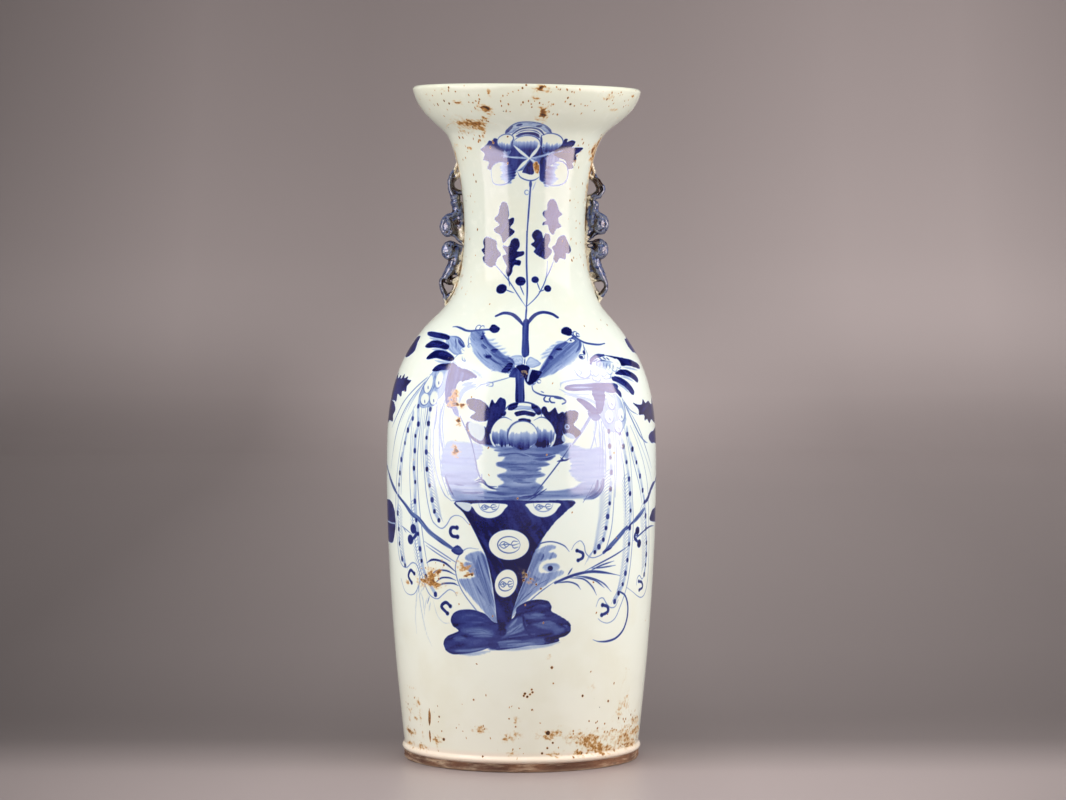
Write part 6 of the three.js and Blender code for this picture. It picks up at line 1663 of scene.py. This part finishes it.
def build_handle(node, material):
    piece = bpy.data.objects.new(node + "_glazed", pulls_to_mesh(node + "_glazed", HANDLE_PULLS[node]))
    bpy.context.scene.collection.objects.link(piece)
    remesh = piece.modifiers.new("rebuild", "REMESH")
    remesh.mode, remesh.voxel_size = "VOXEL", HANDLE_VOXEL * MM
    rebuilt = bpy.data.meshes.new_from_object(piece.evaluated_get(bpy.context.evaluated_depsgraph_get()))
    piece.modifiers.clear()
    piece.data = rebuilt
    place = mesh_array(rebuilt.vertices, "co", 3) / MM
    edges = mesh_array(rebuilt.edges, "vertices", 2, np.int32)
    place = neighbour_mean(place, edges, HANDLE_SMOOTHS)
    bumps = smooth_noise(place[:, 0] / 2.6 + place[:, 1] / 3, place[:, 2] / 2.8) - 0.5
    rebuilt.vertices.foreach_set("co", (place * MM).ravel())
    rebuilt.update()
    facing = mesh_array(rebuilt.vertices, "normal", 3)
    place += 1.2 * bumps[:, None] * facing
    rebuilt.vertices.foreach_set("co", (place * MM).ravel())
    rebuilt.update()
    sunk = np.einsum("ij,ij->i", neighbour_mean(place, edges, HOLLOW_SPREAD) - place, facing)
    off_wall = np.hypot(place[:, 0] - NECK_SHIFT, place[:, 1]) - neck_radius_here(place[:, 2])
    # Painted shade on the faces turned to the neck, in the gap between handle and pot
    neck_facing_shade = ramp(-facing[:, 0] * np.sign(place[:, 0]), 0.3, 0.8) * ramp(off_wall, 1, 4)
    # Painted shade in dark brown inside the loops
    loop_inside_shade = np.zeros(len(place))
    for x, z, radius in LOOP_INSIDE_SHADE:
        away = np.hypot(place[:, 0] - x, place[:, 2] - z)
        loop_inside_shade = np.maximum(loop_inside_shade, 1.3 * (1 - ramp(away, radius - 1, radius + 1)))
    layers = {
        # Hollows: pooled glaze in the cavities, partly painted shade, with the painted shade of the neck-facing faces
        # and loop insides
        "hollow_and_shade": np.maximum(np.maximum(ramp(sunk, 0.02, 0.22), neck_facing_shade), loop_inside_shade),
        "edge": ramp(-sunk, 0.06, 0.3),
        "join": np.maximum(1 - ramp(off_wall, 0, 2 * JOIN_WIDTH), ramp(place[:, 2], *BARE_TOP) + 1 - ramp(place[:, 2], *BARE_TAIL)),
    }
    for name, values in layers.items():
        layer = rebuilt.attributes.new(name, "FLOAT", "POINT")
        layer.data.foreach_set("value", values.astype(np.float32))
    rebuilt.shade_smooth()
    rebuilt.materials.clear()
    rebuilt.materials.append(material)
    print(node, len(rebuilt.vertices), sunk.min(), sunk.max())
    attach(piece, "root")
    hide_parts(node)


# The view and the light, in metres, degrees and shares of plain white
CAMERA_PLACE, CAMERA_DIP, CAMERA_LENS, SENSOR = (0.01041, -3.177, 0.4788), 2.85, 119.62, 36
SOFTBOXES = [
    ("left_softbox", -53, 0.62, 0.56, 0.66, 0.53, 2.6, 4.3, (1, 0.78, 0.83)),
    ("right_softbox", 63, 0.62, 0.62, 0.66, 0.53, 2.6, 4.4, (1, 0.7, 0.66)),
]
# Low fill lights that show in no gloss: name, azimuth, distance, width, height, middle and strength
FILLS = [("left_fill", -70, 1.1, 0.7, 0.4, 0.25, 1.3), ("right_fill", 70, 1.1, 0.7, 0.4, 0.25, 1.5)]
# The sky's colour, and its strength in front of the pot (-Y) and behind it
SKY, SKY_FRONT, SKY_BACK = (0.97, 0.99, 1.0, 1), 1.4, 1.15
STAGE_FLAT, STAGE_CURVE, STAGE_TOP = 4200, 1500, 1900


def build_stage():
    bend = [(STAGE_FLAT + STAGE_CURVE * math.sin(a), STAGE_CURVE - STAGE_CURVE * math.cos(a))
            for a in np.linspace(0, math.pi / 2, 24)]
    flat = [(r, 0) for r in (0.5, 60, 200, 600, 1500, 3000)]
    wall = [(STAGE_FLAT + STAGE_CURVE, z) for z in (1700, STAGE_TOP)]
    back = [(STAGE_FLAT + STAGE_CURVE + 50, STAGE_TOP), (STAGE_FLAT + STAGE_CURVE + 50, -50), (0.5, -50)]
    stage = lathe("floor_and_backdrop", flat + bend + wall + back, 128, stage_finish())


def add_softbox(name, azimuth, distance, width, height, middle, strength, tint, glint):
    """A rectangular light that faces the pot, or its glint, which shows in gloss alone."""
    light = bpy.data.lights.new(name, "AREA")
    light.color = tint
    light.shape, light.size, light.size_y = "RECTANGLE", width, height
    light.energy = strength * math.pi * width * height
    turn = math.radians(azimuth)
    box = bpy.data.objects.new(name, light)
    box.location = (distance * math.sin(turn), -distance * math.cos(turn), middle)
    box.rotation_euler = (math.pi / 2, 0, turn)
    box.visible_camera = False
    box.visible_diffuse = not glint
    bpy.context.scene.collection.objects.link(box)
    return box


def light_and_view():
    scene = bpy.context.scene
    for name, *place, strength, glint, tint in SOFTBOXES:
        add_softbox(name, *place, strength, (1, 1, 1), False)
        place[1] += 0.01
        add_softbox(name + "_glint", *place, glint, tint, True)
    for name, *place, strength in FILLS:
        add_softbox(name, *place, strength, (1, 1, 1), False).visible_glossy = False
    world = scene.world or bpy.data.worlds.new("studio")
    scene.world = world
    world.use_nodes = True
    sky = world.node_tree.nodes["Background"]
    sky.inputs["Color"].default_value = SKY
    nodes, links = world.node_tree.nodes, world.node_tree.links
    parts, strength = nodes.new("ShaderNodeSeparateXYZ"), nodes.new("ShaderNodeMapRange")
    links.new(nodes.new("ShaderNodeTexCoord").outputs["Generated"], parts.inputs[0])
    links.new(parts.outputs["Y"], strength.inputs["Value"])
    for socket, value in (("From Min", -1), ("To Min", SKY_FRONT), ("To Max", SKY_BACK)):
        strength.inputs[socket].default_value = value
    links.new(strength.outputs[0], sky.inputs["Strength"])
    world.cycles_visibility.glossy = False
    scene.view_settings.view_transform = "Standard"
    lens = bpy.data.cameras.new("photo_view")
    lens.lens, lens.sensor_width, lens.sensor_fit, lens.clip_end = CAMERA_LENS, SENSOR, "HORIZONTAL", 50
    camera = bpy.data.objects.new("photo_view", lens)
    camera.location = CAMERA_PLACE
    camera.rotation_euler = (math.radians(90 - CAMERA_DIP), 0, 0)
    scene.collection.objects.link(camera)
    scene.camera = camera


def dress_nodes(material, *nodes):
    """A finish for the solids that stay as they are."""
    for node in nodes:
        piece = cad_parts[node]
        piece.data.materials.clear() if not piece.material_slots else None
        for used in piece.material_slots:
            used.link = "OBJECT"
            used.material = material


light_and_view()
build_stage()
canvas = Painting(radius_at)
paint_front(canvas)
for middle, height, scale in BACK_SPRAYS:
    paint_back_spray(canvas, middle, height, scale)
paint_stains(canvas)
build_pot(canvas, glaze_finish())
build_foot(biscuit_finish())
handle_glaze = handle_finish()
for node in HANDLE_PULLS:
    build_handle(node, handle_glaze)
dress_nodes(slip_finish(), "base_floor", "floor_luting_fillet", "waist_luting_seam", "neck_luting_seam", "mouth_luting_seam")
